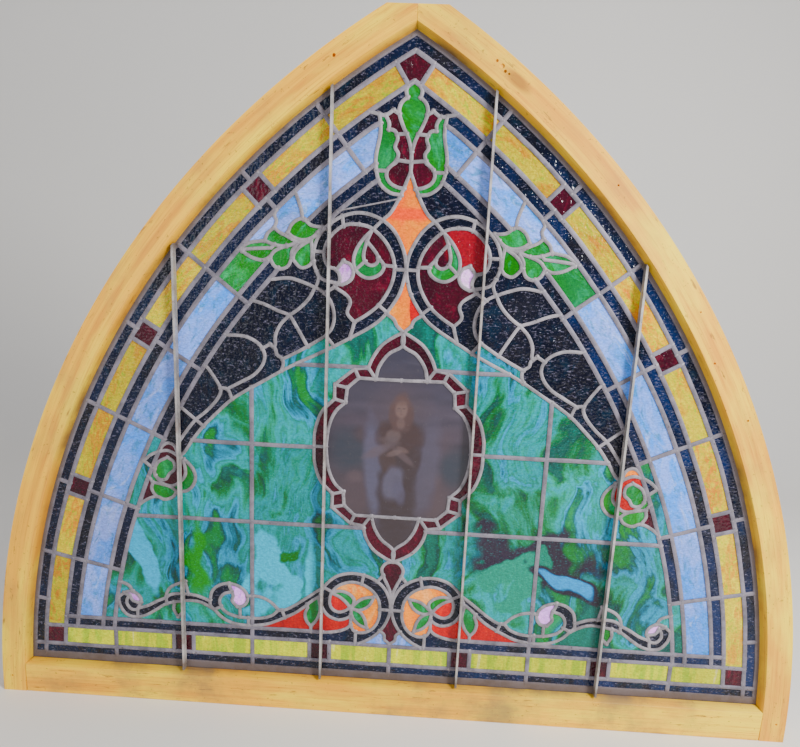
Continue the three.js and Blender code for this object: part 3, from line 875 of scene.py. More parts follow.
def streaks_group():
    """Masks of the colours that run through streaky glass."""
    group, taken, given = new_group(
        "Glass streaks",
        [("Vector", "NodeSocketVector", None), ("Scale", "NodeSocketFloat", 4.0),
         ("Stretch", "NodeSocketFloat", 0.35), ("Swirl", "NodeSocketFloat", 0.6)],
        [("Broad", "NodeSocketFloat"), ("Streak", "NodeSocketFloat"), ("Wisp", "NodeSocketFloat")],
    )
    squeeze = add_node(group, "ShaderNodeCombineXYZ", {0: 1.0, 1: taken["Stretch"], 2: 1.0})
    laid = add_node(
        group, "ShaderNodeVectorMath", {0: taken["Vector"], 1: squeeze.outputs[0]},
        operation="MULTIPLY",
    ).outputs[0]
    bend = add_node(
        group, "ShaderNodeTexNoise", {"Vector": laid, "Scale": taken["Scale"], "Detail": 1.5}
    )
    centred = add_node(
        group, "ShaderNodeVectorMath", {0: bend.outputs["Color"], 1: (0.5, 0.5, 0.5)},
        operation="SUBTRACT",
    ).outputs[0]
    pushed = add_node(
        group, "ShaderNodeVectorMath", {0: centred, "Scale": taken["Swirl"]}, operation="SCALE"
    ).outputs[0]
    flow = add_node(group, "ShaderNodeVectorMath", {0: laid, 1: pushed}, operation="ADD").outputs[0]
    broad = clouds(group, flow, maths(group, "MULTIPLY", taken["Scale"], 0.6), 2.0, 0.45)
    streak = clouds(group, flow, maths(group, "MULTIPLY", taken["Scale"], 2.6), 4.0, 0.6)
    moved = stretched(group, flow, (1.0, 1.0, 1.0), (7.3, 2.1, 0.0))
    wisp = clouds(group, moved, maths(group, "MULTIPLY", taken["Scale"], 1.4), 5.0, 0.65)
    for key, value, low, high in (
        ("Broad", broad, 0.38, 0.62), ("Streak", streak, 0.5, 0.68), ("Wisp", wisp, 0.52, 0.72),
    ):
        group.links.new(between(group, value, low, high), given[key])
    return group


def hammer_group():
    """The height of hammered and rippled glass."""
    group, taken, given = new_group(
        "Hammered surface",
        [("Vector", "NodeSocketVector", None), ("Scale", "NodeSocketFloat", 300.0),
         ("Ripple", "NodeSocketFloat", 0.5)],
        [("Height", "NodeSocketFloat")],
    )
    warp = add_node(
        group, "ShaderNodeTexNoise", {"Vector": taken["Vector"], "Scale": 60.0, "Detail": 2.0}
    ).outputs["Color"]
    push = add_node(group, "ShaderNodeVectorMath", {0: warp, "Scale": 0.006}, operation="SCALE")
    place = add_node(
        group, "ShaderNodeVectorMath", {0: taken["Vector"], 1: push.outputs[0]}, operation="ADD"
    ).outputs[0]
    dents = add_node(
        group, "ShaderNodeTexVoronoi", {"Vector": place, "Scale": taken["Scale"]},
        feature="SMOOTH_F1",
    ).outputs["Distance"]
    waves = clouds(group, stretched(group, place, (1.0, 1.0, 0.45)), 170.0, 2.0, 0.5)
    height = add_node(
        group, "ShaderNodeMix", {0: taken["Ripple"], 2: dents, 3: waves}, data_type="FLOAT"
    ).outputs[0]
    group.links.new(height, given["Height"])
    return group


def grime_group():
    """Masks of dust in broad patches and of small specks."""
    group, taken, given = new_group(
        "Grime",
        [("Vector", "NodeSocketVector", None), ("Amount", "NodeSocketFloat", 0.5)],
        [("Dust", "NodeSocketFloat"), ("Specks", "NodeSocketFloat")],
    )
    film = clouds(group, taken["Vector"], 9.0, 6.0, 0.62)
    spots = clouds(group, taken["Vector"], 240.0, 2.0, 0.5)
    dust = maths(group, "MULTIPLY", between(group, film, 0.45, 0.75), taken["Amount"])
    specks = maths(group, "MULTIPLY", between(group, spots, 0.68, 0.74), taken["Amount"])
    group.links.new(dust, given["Dust"])
    group.links.new(specks, given["Specks"])
    return group


def shared(name, maker):
    """The shader group of that name, made the first time it is asked for."""
    return bpy.data.node_groups.get(name) or maker()


def use_group(tree, group, inputs):
    made = tree.nodes.new("ShaderNodeGroup")
    made.node_tree = group
    for key, value in inputs.items():
        if isinstance(value, bpy.types.NodeSocket):
            tree.links.new(value, made.inputs[key])
        else:
            made.inputs[key].default_value = value
    return made.outputs


def new_material(name):
    """A material with an empty tree but for its Principled shader and output."""
    material = bpy.data.materials.new(name)
    material.use_nodes = True
    tree = material.node_tree
    shader = next(n for n in tree.nodes if n.type == "BSDF_PRINCIPLED")
    place = tree.nodes.new("ShaderNodeTexCoord").outputs["Object"]
    return material, tree, shader, place


def glass_material(name, main, others, scale, stretch, dents, relief, roughness, painted_sparkle, value):
    """Rolled glass: a base colour, a second one, streaks and pale wisps, painted ripple shade and painted
    highlight flecks, with a dented surface.
    """
    material, tree, shader, place = new_material(name)
    flow = add_node(tree, "ShaderNodeUVMap", uv_map="flow").outputs[0]
    marks = add_node(tree, "ShaderNodeAttribute", attribute_name="pane").outputs["Color"]
    mark = add_node(tree, "ShaderNodeSeparateColor", {0: marks}).outputs
    masks = use_group(
        tree, shared("Glass streaks", streaks_group),
        {"Vector": flow, "Scale": scale, "Stretch": stretch, "Swirl": 0.5},
    )
    base = (*main, 1.0)
    # Colour of the painted highlight flecks, which stand for light glinting on the dents.
    painted_glint = tone(150, 146, 164) if name == "Navy glass" else shaded(main, 6.0)
    second, streak, wisp = (tone(*shade) for shade in others)
    lean = maths(tree, "MULTIPLY", mark[0], 0.5)
    share = maths(tree, "ADD", maths(tree, "MULTIPLY", masks["Broad"], 0.8), lean)
    share = maths(tree, "SUBTRACT", share, 0.2, clamp=True)
    colour = blend(tree, share, base, second)
    colour = blend(tree, maths(tree, "MULTIPLY", masks["Streak"], 0.75), colour, streak)
    colour = blend(tree, maths(tree, "MULTIPLY", masks["Wisp"], 0.6), colour, wisp)
    if name == "Teal glass":
        colour = blend(tree, 0.82, colour, teal_flow(tree, place))
        colour = teal_swirls(tree, place, colour)
    if name == "Navy glass":
        # Bluer streaks in the navy of the borders, made stronger towards the right side by painted light,
        # where the light falls.
        side = add_node(tree, "ShaderNodeSeparateXYZ", {0: place}).outputs[0]
        bluer_streaks_lit_right = maths(tree, "MULTIPLY_ADD", between(tree, side, -0.2, 0.4), 0.7, 0.25)
        bluer_streaks_lit_right = maths(tree, "MULTIPLY", maths(tree, "MULTIPLY", bluer_streaks_lit_right, mark[2]), masks["Broad"])
        colour = blend(tree, bluer_streaks_lit_right, colour, tone(2, 40, 84))
    if name == "Peach glass":
        colour = pink_band(tree, place, colour)
    if name == "Amber glass":
        colour = pale_foot(tree, place, colour)
    if name == "Ruby glass":
        colour = bright_ruby(tree, place, colour)
    # Each pane's own random tone, times painted light and shade of the ripples: a stretched noise that makes
    # the colour lighter and darker.
    level = maths(tree, "MULTIPLY_ADD", mark[1], 0.4, 0.8)
    ripple_shade = clouds(tree, stretched(tree, place, (1.0, 1.0, 2.2)), dents * 0.8, 2.0, 0.6)
    level = maths(tree, "MULTIPLY", level, maths(tree, "MULTIPLY_ADD", ripple_shade, 1.1, 0.45))
    shade = add_node(tree, "ShaderNodeCombineColor", {0: level, 1: level, 2: level}).outputs[0]
    colour = blend(tree, 1.0, colour, shade, "MULTIPLY")
    grime = use_group(tree, shared("Grime", grime_group), {"Vector": place, "Amount": 0.35})
    colour = blend(tree, maths(tree, "MULTIPLY", grime["Dust"], 0.35), colour, tone(92, 84, 80))
    relief_of = use_group(
        tree, shared("Hammered surface", hammer_group),
        {"Vector": place, "Scale": dents, "Ripple": 0.55},
    )
    colour = add_node(
        tree, "ShaderNodeHueSaturation", {"Saturation": 1.25, "Value": value, "Color": colour}
    ).outputs[0]
    # Painted highlights: pale flecks where a stretched noise peaks, standing for light glinting off the dented
    # surface.
    if painted_sparkle:
        painted_flecks = clouds(tree, stretched(tree, place, (0.8, 1.0, 1.9)), dents, 3.0, 0.62)
        painted_flecks = maths(tree, "MULTIPLY", between(tree, painted_flecks, 0.56, 0.7), painted_sparkle)
        colour = blend(tree, painted_flecks, colour, painted_glint)
    tree.links.new(colour, shader.inputs["Base Color"])
    bump = add_node(
        tree, "ShaderNodeBump",
        {"Height": relief_of["Height"], "Strength": relief, "Distance": 0.003},
    )
    tree.links.new(bump.outputs[0], shader.inputs["Normal"])
    rough = maths(tree, "MULTIPLY_ADD", grime["Dust"], 0.5, roughness)
    tree.links.new(rough, shader.inputs["Roughness"])
    shader.inputs["IOR"].default_value = 1.5
    shader.inputs["Specular IOR Level"].default_value = 0.3
    return material


def swirl_mask(tree, place, middle, size, turn, warp=0.16, grain=16.0):
    """A soft mask of a bent oval at a place on the panel, 1 in its middle."""
    noise_at = add_node(tree, "ShaderNodeTexNoise", {"Vector": place, "Scale": grain, "Detail": 2.5})
    push = add_node(
        tree, "ShaderNodeVectorMath", {0: noise_at.outputs["Color"], 1: (0.5, 0.5, 0.5)},
        operation="SUBTRACT",
    ).outputs[0]
    push = add_node(tree, "ShaderNodeVectorMath", {0: push, "Scale": warp}, operation="SCALE")
    bent = add_node(
        tree, "ShaderNodeVectorMath", {0: place, 1: push.outputs[0]}, operation="ADD"
    ).outputs[0]
    inputs = {
        "Vector": bent, "Location": (middle[0] * MM, 0, middle[1] * MM),
        "Rotation": (0, math.radians(-turn), 0), "Scale": (size[0] * MM, 1.0, size[1] * MM),
    }
    oval = add_node(tree, "ShaderNodeMapping", inputs, vector_type="TEXTURE").outputs[0]
    return add_node(
        tree, "ShaderNodeTexGradient", {"Vector": oval}, gradient_type="SPHERICAL"
    ).outputs["Fac"]


def colour_ramp(tree, value, stops):
    """Colours laid along a value, from a list of positions and display colours."""
    made = add_node(tree, "ShaderNodeValToRGB", {0: value})
    elements = made.color_ramp.elements
    while len(elements) < len(stops):
        elements.new(0.5)
    for element, (position, shade) in zip(elements, stops):
        element.position = position
        element.color = tone(*shade)
    return made.outputs[0]


def teal_flow(tree, place):
    """Bands of green, turquoise and dusk that run down through the field from pane to pane."""
    bend = add_node(tree, "ShaderNodeTexNoise", {"Vector": place, "Scale": 6.0, "Detail": 2.0})
    push = add_node(
        tree, "ShaderNodeVectorMath", {0: bend.outputs["Color"], "Scale": 0.17}, operation="SCALE"
    ).outputs[0]
    bent = add_node(tree, "ShaderNodeVectorMath", {0: place, 1: push}, operation="ADD").outputs[0]
    broad = clouds(tree, stretched(tree, bent, (11.0, 11.0, 3.4)), 1.0, 2.5, 0.5, 0.6)
    fine = clouds(tree, stretched(tree, bent, (70.0, 70.0, 12.0)), 1.0, 4.0, 0.6)
    value = maths(tree, "MULTIPLY_ADD", maths(tree, "SUBTRACT", fine, 0.5), 0.3, broad)
    return colour_ramp(tree, value, (
        (0.33, (16, 96, 84)), (0.39, (34, 46, 50)), (0.43, (14, 108, 50)), (0.465, (20, 148, 128)),
        (0.5, (30, 164, 176)), (0.54, (18, 130, 112)), (0.575, (44, 170, 214)),
        (0.62, (38, 62, 70)), (0.67, (16, 128, 62)),
    ))


def teal_swirls(tree, place, colour):
    """The bright and dark swirls in the low panes of the field."""
    cyan, sky, dusk = tone(0, 208, 255), tone(110, 176, 246), tone(44, 38, 50)
    left = swirl_mask(tree, place, (-184, 220), (46, 74), 12)
    colour = blend(tree, between(tree, left, 0.2, 0.36), colour, cyan)
    split = swirl_mask(tree, place, (-158, 262), (24, 46), -10)
    colour = blend(tree, between(tree, split, 0.2, 0.5), colour, tone(6, 116, 50))
    arc = swirl_mask(tree, place, (-124, 226), (14, 66), -4, 0.05)
    colour = blend(tree, between(tree, arc, 0.2, 0.5), colour, tone(30, 212, 255))
    grass = swirl_mask(tree, place, (-298, 236), (20, 96), -4, 0.08)
    colour = blend(tree, between(tree, grass, 0.1, 0.6), colour, tone(28, 148, 40))
    edge = swirl_mask(tree, place, (-388, 250), (20, 112), 20, 0.05)
    colour = blend(tree, between(tree, edge, 0.2, 0.4), colour, tone(0, 196, 255))
    shade = swirl_mask(tree, place, (210, 268), (150, 46), -8, 0.2)
    colour = blend(tree, between(tree, shade, 0.05, 0.5), colour, dusk)
    low = swirl_mask(tree, place, (176, 238), (76, 36), -24, 0.2)
    colour = blend(tree, between(tree, low, 0.1, 0.3), colour, tone(34, 140, 120))
    crest = swirl_mask(tree, place, (262, 232), (74, 19), -26, 0.1, 9.0)
    colour = blend(tree, between(tree, crest, 0.0, 0.2), colour, dusk)
    return blend(tree, between(tree, crest, 0.3, 0.5), colour, sky)


def pale_foot(tree, place, colour):
    """The paler, greener yellow of the panes along the foot, in upright streaks."""
    height = add_node(tree, "ShaderNodeSeparateXYZ", {0: place}).outputs[2]
    low = maths(tree, "SUBTRACT", 1.0, between(tree, height, FOOT_AMBER * MM, FOOT_AMBER * MM + 0.01))
    upright = clouds(tree, stretched(tree, place, (60.0, 60.0, 9.0)), 1.0, 4.0, 0.6, 0.5)
    lime = blend(tree, between(tree, upright, 0.4, 0.55), tone(170, 198, 92), tone(218, 224, 130))
    lime = blend(tree, between(tree, upright, 0.58, 0.68), lime, tone(238, 238, 194))
    return blend(tree, maths(tree, "MULTIPLY", low, 0.85), colour, lime)


def pink_band(tree, place, colour):
    """The pink band across the lozenge."""
    band = swirl_mask(tree, place, (0, 757), (70, 13), 0, 0.012, 30.0)
    return blend(tree, between(tree, band, 0.1, 0.6), colour, tone(240, 128, 116))


def bright_ruby(tree, place, colour):
    """The brighter red at the top of the right heart."""
    glow = swirl_mask(tree, place, (90, 718), (46, 46), -25, 0.02, 22.0)
    return blend(tree, between(tree, glow, 0.05, 0.3), colour, tone(142, 0, 46))


def sash_shadow_and_dirt(tree, place):
    """A mask of painted shadow and dirt along the foot of the panel and under the arcs of the sash, where the
    sash overhangs the panel.
    """
    x, _, z = add_node(tree, "ShaderNodeSeparateXYZ", {0: place}).outputs
    over = maths(tree, "ADD", maths(tree, "ABSOLUTE", x, 0.0), ARC_X * MM)
    up = maths(tree, "SUBTRACT", z, ARC_Z * MM)
    square = maths(tree, "MULTIPLY_ADD", over, over, maths(tree, "MULTIPLY", up, up))
    radius = maths(tree, "SQRT", square, 0.0)
    arc = between(tree, radius, (SIGHT_RADIUS - 9.0) * MM, (SIGHT_RADIUS - 1.0) * MM)
    clear_of_shadow_and_dirt = between(tree, z, (SIGHT_LINE + 7.0) * MM, (SIGHT_LINE + 20.0) * MM)
    return maths(tree, "MAXIMUM", arc, maths(tree, "SUBTRACT", 1.0, clear_of_shadow_and_dirt))


def metal_material(name, main, rubbed, roughness, metallic, scale):
    """Grey metal with a mottled skin, paler where it is rubbed, and darker near the sash with painted shadow
    and dirt.
    """
    material, tree, shader, place = new_material(name)
    mottle = clouds(tree, place, scale, 6.0, 0.65)
    colour = blend(tree, between(tree, mottle, 0.35, 0.68), shaded(main, 0.62), shaded(main, 1.12))
    grime = use_group(tree, shared("Grime", grime_group), {"Vector": place, "Amount": 0.9})
    worn = maths(tree, "MULTIPLY", grime["Dust"], rubbed)
    colour = blend(tree, worn, colour, shaded(main, 1.5))
    colour = blend(tree, maths(tree, "MULTIPLY", grime["Specks"], 0.7), colour, tone(58, 48, 44))
    # Painted shadow and dirt: the metal darkened near the sash's sight line and along the foot.
    soil = maths(tree, "MULTIPLY", sash_shadow_and_dirt(tree, place), 0.72)
    colour = blend(tree, soil, colour, tone(88, 74, 62))
    tree.links.new(colour, shader.inputs["Base Color"])
    fine = clouds(tree, place, 900.0, 3.0, 0.6)
    bump = add_node(tree, "ShaderNodeBump", {"Height": fine, "Strength": 0.25, "Distance": 0.0006})
    tree.links.new(bump.outputs[0], shader.inputs["Normal"])
    rough = maths(tree, "MULTIPLY_ADD", mottle, 0.3, roughness)
    tree.links.new(rough, shader.inputs["Roughness"])
    shader.inputs["Metallic"].default_value = metallic
    return material


def steel_material(main):
    """Flat steel bar with a pale worn face and rust."""
    material = metal_material("Steel bar", main, 0.7, 0.45, 0.55, 40.0)
    tree = material.node_tree
    shader = next(n for n in tree.nodes if n.type == "BSDF_PRINCIPLED")
    place = next(n for n in tree.nodes if n.type == "TEX_COORD").outputs["Object"]
    grey = shader.inputs["Base Color"].links[0].from_socket
    rust = between(tree, clouds(tree, place, 34.0, 6.0, 0.7), 0.5, 0.7)
    colour = blend(tree, maths(tree, "MULTIPLY", rust, 0.55), grey, tone(104, 72, 52))
    tree.links.new(colour, shader.inputs["Base Color"])
    return material


def pine_material(main):
    """Old pine: long grain, knots, scratches, painted shade and dirt along the edge by the glass, and dirt
    towards the foot.
    """
    material, tree, shader, place = new_material("Old pine")
    grain = add_node(tree, "ShaderNodeAttribute", attribute_name="grain").outputs["Vector"]
    sway = add_node(
        tree, "ShaderNodeTexNoise",
        {"Vector": stretched(tree, grain, (2.2, 12.0, 12.0)), "Scale": 1.0, "Detail": 3.0},
    ).outputs["Color"]
    push = add_node(tree, "ShaderNodeVectorMath", {0: sway, "Scale": 0.022}, operation="SCALE")
    bent = add_node(
        tree, "ShaderNodeVectorMath", {0: grain, 1: push.outputs[0]}, operation="ADD"
    ).outputs[0]
    rings = clouds(tree, stretched(tree, bent, (1.1, 95.0, 60.0)), 1.0, 5.0, 0.6)
    fibre = clouds(tree, stretched(tree, grain, (14.0, 700.0, 500.0)), 1.0, 4.0, 0.6)
    patch = clouds(tree, stretched(tree, grain, (5.0, 22.0, 18.0)), 1.0, 4.0, 0.6)
    colour = blend(tree, between(tree, rings, 0.32, 0.7), (*main, 1.0), tone(206, 150, 54))
    colour = blend(tree, between(tree, patch, 0.4, 0.7), colour, tone(252, 218, 118))
    fine = maths(tree, "MULTIPLY", between(tree, fibre, 0.48, 0.75), 0.6)
    colour = blend(tree, fine, colour, tone(176, 120, 50))
    scratch = clouds(tree, stretched(tree, grain, (26.0, 160.0, 200.0), (0, 0, 0), (0, 0, 0.5)), 1.0, 6.0, 0.7)
    worn = maths(tree, "MULTIPLY", between(tree, scratch, 0.6, 0.68), 0.7)
    colour = blend(tree, worn, colour, tone(120, 78, 36))
    knots = add_node(
        tree, "ShaderNodeTexVoronoi",
        {"Vector": stretched(tree, grain, (5.5, 15.0, 8.0)), "Scale": 1.0, "Randomness": 1.0},
    ).outputs["Distance"]
    knot = maths(tree, "SUBTRACT", 1.0, between(tree, knots, 0.05, 0.16))
    colour = blend(tree, maths(tree, "MULTIPLY", knot, 0.7), colour, tone(122, 70, 30))
    grime = use_group(tree, shared("Grime", grime_group), {"Vector": place, "Amount": 1.0})
    # Painted shade and dirt on the timber within a few millimetres of the glass, where the sash's edge meets
    # the panel.
    out = add_node(tree, "ShaderNodeSeparateXYZ", {0: grain}).outputs[1]
    beside = maths(tree, "SUBTRACT", 1.0, between(tree, out, 0.0, 0.0075))
    beside = maths(tree, "MULTIPLY", beside, maths(tree, "MULTIPLY_ADD", grime["Dust"], 0.6, 0.5))
    colour = blend(tree, beside, colour, tone(96, 70, 42))
    height = add_node(tree, "ShaderNodeSeparateXYZ", {0: place}).outputs
    low = maths(tree, "SUBTRACT", 1.0, between(tree, height[2], 0.02, 0.12))
    soil = maths(tree, "MULTIPLY", maths(tree, "MULTIPLY_ADD", low, 0.5, 0.26), grime["Dust"])
    colour = blend(tree, soil, colour, tone(112, 96, 80))
    colour = blend(tree, maths(tree, "MULTIPLY", grime["Specks"], 0.5), colour, tone(96, 58, 30))
    tree.links.new(colour, shader.inputs["Base Color"])
    depth = maths(tree, "ADD", maths(tree, "MULTIPLY", fibre, 0.6), maths(tree, "MULTIPLY", rings, 0.4))
    bump = add_node(tree, "ShaderNodeBump", {"Height": depth, "Strength": 0.3, "Distance": 0.0008})
    tree.links.new(bump.outputs[0], shader.inputs["Normal"])
    rough = maths(tree, "MULTIPLY_ADD", patch, 0.25, 0.4)
    tree.links.new(rough, shader.inputs["Roughness"])
    return material


def painted_material():
    """Fired paint on glass, read from the colours laid on the pane."""
    material, tree, shader, place = new_material("Painted glass")
    paint = add_node(tree, "ShaderNodeAttribute", attribute_name="paint").outputs["Color"]
    brush = clouds(tree, stretched(tree, place, (60.0, 60.0, 150.0)), 1.0, 4.0, 0.6)
    cover = maths(tree, "MULTIPLY", between(tree, brush, 0.4, 0.75), 0.25)
    colour = blend(tree, cover, paint, tone(104, 90, 106))
    grime = use_group(tree, shared("Grime", grime_group), {"Vector": place, "Amount": 0.7})
    colour = blend(tree, maths(tree, "MULTIPLY", grime["Dust"], 0.3), colour, tone(96, 88, 96))
    colour = blend(tree, maths(tree, "MULTIPLY", grime["Specks"], 0.4), colour, tone(150, 140, 140))
    colour = add_node(
        tree, "ShaderNodeHueSaturation", {"Saturation": 0.68, "Value": 0.3, "Color": colour}
    ).outputs[0]
    tree.links.new(colour, shader.inputs["Base Color"])
    skin = clouds(tree, place, 260.0, 3.0, 0.5)
    bump = add_node(tree, "ShaderNodeBump", {"Height": skin, "Strength": 0.12, "Distance": 0.0008})
    tree.links.new(bump.outputs[0], shader.inputs["Normal"])
    shader.inputs["Roughness"].default_value = 0.36
    return material


def plain_material(name, main, roughness):
    """A quiet material for the stage, with only a faint unevenness."""
    material, tree, shader, place = new_material(name)
    drift = clouds(tree, place, 1.5, 2.0, 0.5)
    colour = blend(tree, drift, shaded(main, 1.0), shaded(main, 1.05))
    tree.links.new(colour, shader.inputs["Base Color"])
    shader.inputs["Roughness"].default_value = roughness
    return material


# ---- The painting of the medallion ----

# The broad areas of the painting, from the back to the front: middle, half width and half height,
# lean, softness, colour, strength.
AREAS = (
    ((0, 600), (90, 34), 0.0, 1.2, (62, 62, 96), 0.9),
    ((-20, 512), (90, 10), 0.06, 1.2, (96, 84, 112), 0.5),
    ((30, 486), (80, 12), -0.05, 1.2, (132, 112, 134), 0.45),
    ((-60, 470), (44, 9), 0.05, 1.2, (120, 96, 116), 0.5),
    ((70, 455), (36, 12), 0.0, 1.0, (128, 104, 122), 0.5),
    ((-72, 423), (26, 30), 0.1, 0.8, (62, 72, 94), 0.85),
    ((82, 405), (20, 26), -0.1, 0.8, (62, 74, 96), 0.85),
    ((-50, 448), (15, 12), 0.0, 0.9, (112, 80, 86), 0.6),
    ((58, 436), (22, 16), 0.0, 1.0, (116, 92, 106), 0.6),
    ((0, 290), (90, 46), 0.0, 0.9, (86, 66, 76), 0.9),
    ((-62, 352), (21, 38), 0.0, 0.7, (112, 84, 96), 0.75),
    ((52, 352), (22, 38), 0.0, 0.7, (116, 88, 98), 0.75),
    ((-62, 384), (11, 9), 0.0, 0.8, (132, 104, 112), 0.6),
    ((50, 384), (12, 9), 0.0, 0.8, (132, 104, 110), 0.6),
    ((0, 492), (34, 34), 0.0, 1.2, (128, 104, 112), 0.55),
    ((42, 398), (17, 74), -0.1, 0.6, (110, 100, 132), 0.75),
    ((-33, 392), (15, 76), 0.1, 0.5, (112, 106, 146), 0.9),
    ((-20, 432), (26, 22), 0.5, 0.6, (122, 108, 140), 0.7),
    ((0, 360), (27, 84), 0.0, 0.35, (80, 56, 62), 0.9),
    ((2, 447), (33, 27), 0.0, 0.3, (92, 58, 58), 0.95),
    ((-14, 408), (13, 19), 0.3, 0.4, (96, 62, 60), 0.9),
    ((22, 410), (11, 24), -0.2, 0.5, (84, 58, 62), 0.9),
    ((-6, 376), (15, 27), -0.15, 0.4, (122, 114, 150), 0.9),
    ((3, 364), (9, 20), 0.25, 0.5, (108, 98, 136), 0.8),
    ((-30, 424), (23, 7), 0.5, 0.5, (142, 118, 132), 0.7),
    ((8, 417), (20, 5), -0.7, 0.5, (140, 112, 118), 0.65),
    ((-8, 448), (11, 9), 0.2, 0.5, (146, 118, 118), 0.75),
    ((-13, 440), (15, 6), -0.2, 0.6, (132, 106, 112), 0.6),
    ((-6, 422), (11, 4), 0.35, 0.5, (158, 124, 120), 0.7),
    ((6, 428), (9, 3.4), -0.4, 0.5, (152, 118, 114), 0.7),
    ((2, 483), (16, 27), 0.0, 0.35, (128, 84, 78), 0.9),
    ((-8, 474), (7, 18), 0.15, 0.5, (116, 74, 70), 0.7),
    ((13, 474), (7, 18), -0.15, 0.5, (112, 72, 70), 0.7),
    ((2, 467), (6, 8), 0.0, 0.5, (146, 108, 102), 0.8),
    ((2, 487), (9, 12.5), 0.0, 0.35, (160, 120, 112), 0.9),
    ((2, 497), (8, 3.5), 0.0, 0.6, (140, 96, 86), 0.6),
    ((-1.6, 489), (2.2, 0.9), 0.0, 0.6, (104, 70, 68), 0.7),
    ((5.8, 489), (2.2, 0.9), 0.0, 0.6, (104, 70, 68), 0.7),
    ((2.2, 484.5), (0.9, 3.2), 0.0, 0.9, (136, 98, 92), 0.5),
    ((2.2, 480.2), (2.6, 0.8), 0.0, 0.7, (122, 76, 76), 0.6),
    ((30, 553), (24, 1.6), -0.15, 0.8, (128, 120, 140), 0.35),
)


def paint_at(x, z):
    """The colour of the painting at a place of the plan."""
    drift = noise.noise(Vector((x / 16, z / 16, 3.0)))
    cloud = noise.noise(Vector((x / 38, z / 9, 8.0)))
    rise = min(1.0, max(0.0, (z - 340) / 190))
    low, high = (106, 86, 98), (84, 76, 104)
    colour = [a + (b - a) * rise + 13 * cloud for a, b in zip(low, high)]
    for (middle_x, middle_z), (wide, tall), lean, soft, shade, strength in AREAS:
        dx, dz = x - middle_x, z - middle_z
        if abs(dx) + abs(dz) > 2.6 * max(wide, tall):
            continue
        cos, sin = math.cos(lean), math.sin(lean)
        out = math.hypot((dx * cos + dz * sin) / wide, (dz * cos - dx * sin) / tall)
        cover = strength * min(1.0, max(0.0, (1 - out - 0.16 * drift) / soft + 0.5))
        colour = [a + (b - a) * cover for a, b in zip(colour, shade)]
    touch = 4 * noise.noise(Vector((x / 2.2, z / 5.0, 1.0)))
    return tone(*(max(0.0, c + touch) for c in colour))


def painted_panes(cells, thickness, step=1.6):
    """The panes of the medallion, as fine grids cut to their outlines, with the painting laid on."""
    bm = bmesh.new()
    paint = bm.verts.layers.float_color.new("paint")
    for triangles in cells:
        corners = np.array(triangles)
        low, high = corners.min(axis=(0, 1)), corners.max(axis=(0, 1))
        columns, rows = (int(n) for n in (high - low) / step + 1)
        grid = bmesh.ops.create_grid(bm, x_segments=columns, y_segments=rows, size=0.5)["verts"]
        for vert in grid:
            x, z = low + (high - low) * (np.array(vert.co.xy) + 0.5)
            vert[paint] = paint_at(x, z)
            vert.co = Vector((x, GLASS_MIDDLE - thickness / 2, z)) * MM
        faces = list({face for vert in grid for face in vert.link_faces})
        middles = np.array([face.calc_center_median().xz for face in faces]) / MM
        inside = np.zeros(len(faces), dtype=bool)
        for a, b, c in corners:
            turns = [np.cross(q - p, middles - p) for p, q in ((a, b), (b, c), (c, a))]
            inside |= (np.min(turns, axis=0) >= 0) | (np.max(turns, axis=0) <= 0)
        outside = [face for face, kept in zip(faces, inside) if not kept]
        bmesh.ops.delete(bm, geom=outside, context="FACES")
    for face in bm.faces:
        if face.normal.y > 0:
            face.normal_flip()
    faces = bm.faces[:]
    back = bmesh.ops.extrude_face_region(bm, geom=faces, use_keep_orig=True)
    raised = [item for item in back["geom"] if isinstance(item, bmesh.types.BMVert)]
    bmesh.ops.translate(bm, verts=raised, vec=(0, thickness * MM, 0))
    bmesh.ops.recalc_face_normals(bm, faces=bm.faces[:])
    return bm


# ---- The timber, the leads and the plan of the panes ----

# Nail holes and dents on the face of the timber: place in the plan, radius, depth.
HOLES = (
    ((-103, 946), 2.6, 5.0), ((102, 946), 2.0, 2.5), ((109, 940), 3.4, 1.6), ((113, 934), 2.2, 3.0),
    ((118, 931), 1.6, 2.0), ((478, 501), 1.8, 2.5), ((422, 578), 1.7, 2.5), ((394, 646), 1.4, 2.5),
    ((268, 803), 1.5, 2.5), ((592, 30), 2.0, 3.0), ((-592, 26), 1.8, 3.0),
)


def bored(cutter, holes):
    """Adds a blunt drill to the cutter at each hole."""
    for (x, z), radius, depth in holes:
        place = Matrix.Translation(Vector((x, SASH_FRONT - 1 + (depth + 1) / 2, z)) * MM)
        bmesh.ops.create_cone(
            cutter, cap_ends=True, segments=14, radius1=radius * MM, radius2=radius * 0.7 * MM,
            depth=(depth + 1) * MM, matrix=place @ Matrix.Rotation(-math.pi / 2, 4, "X"),
        )
    return cutter


def stile(side):
    """A stile with its mitred shoulder cut and its holes bored."""
    shoulder = ((500, -10), (570, -10), (570, 48), (550, 63), (500, 63))
    cutter = prism([(side * x, z) for x, z in shoulder], SASH_FRONT - 2, SASH_BACK + 2)
    holes = [hole for hole in HOLES if hole[0][0] * side > 0]
    return less(stile_shape(side), bored(cutter, holes))


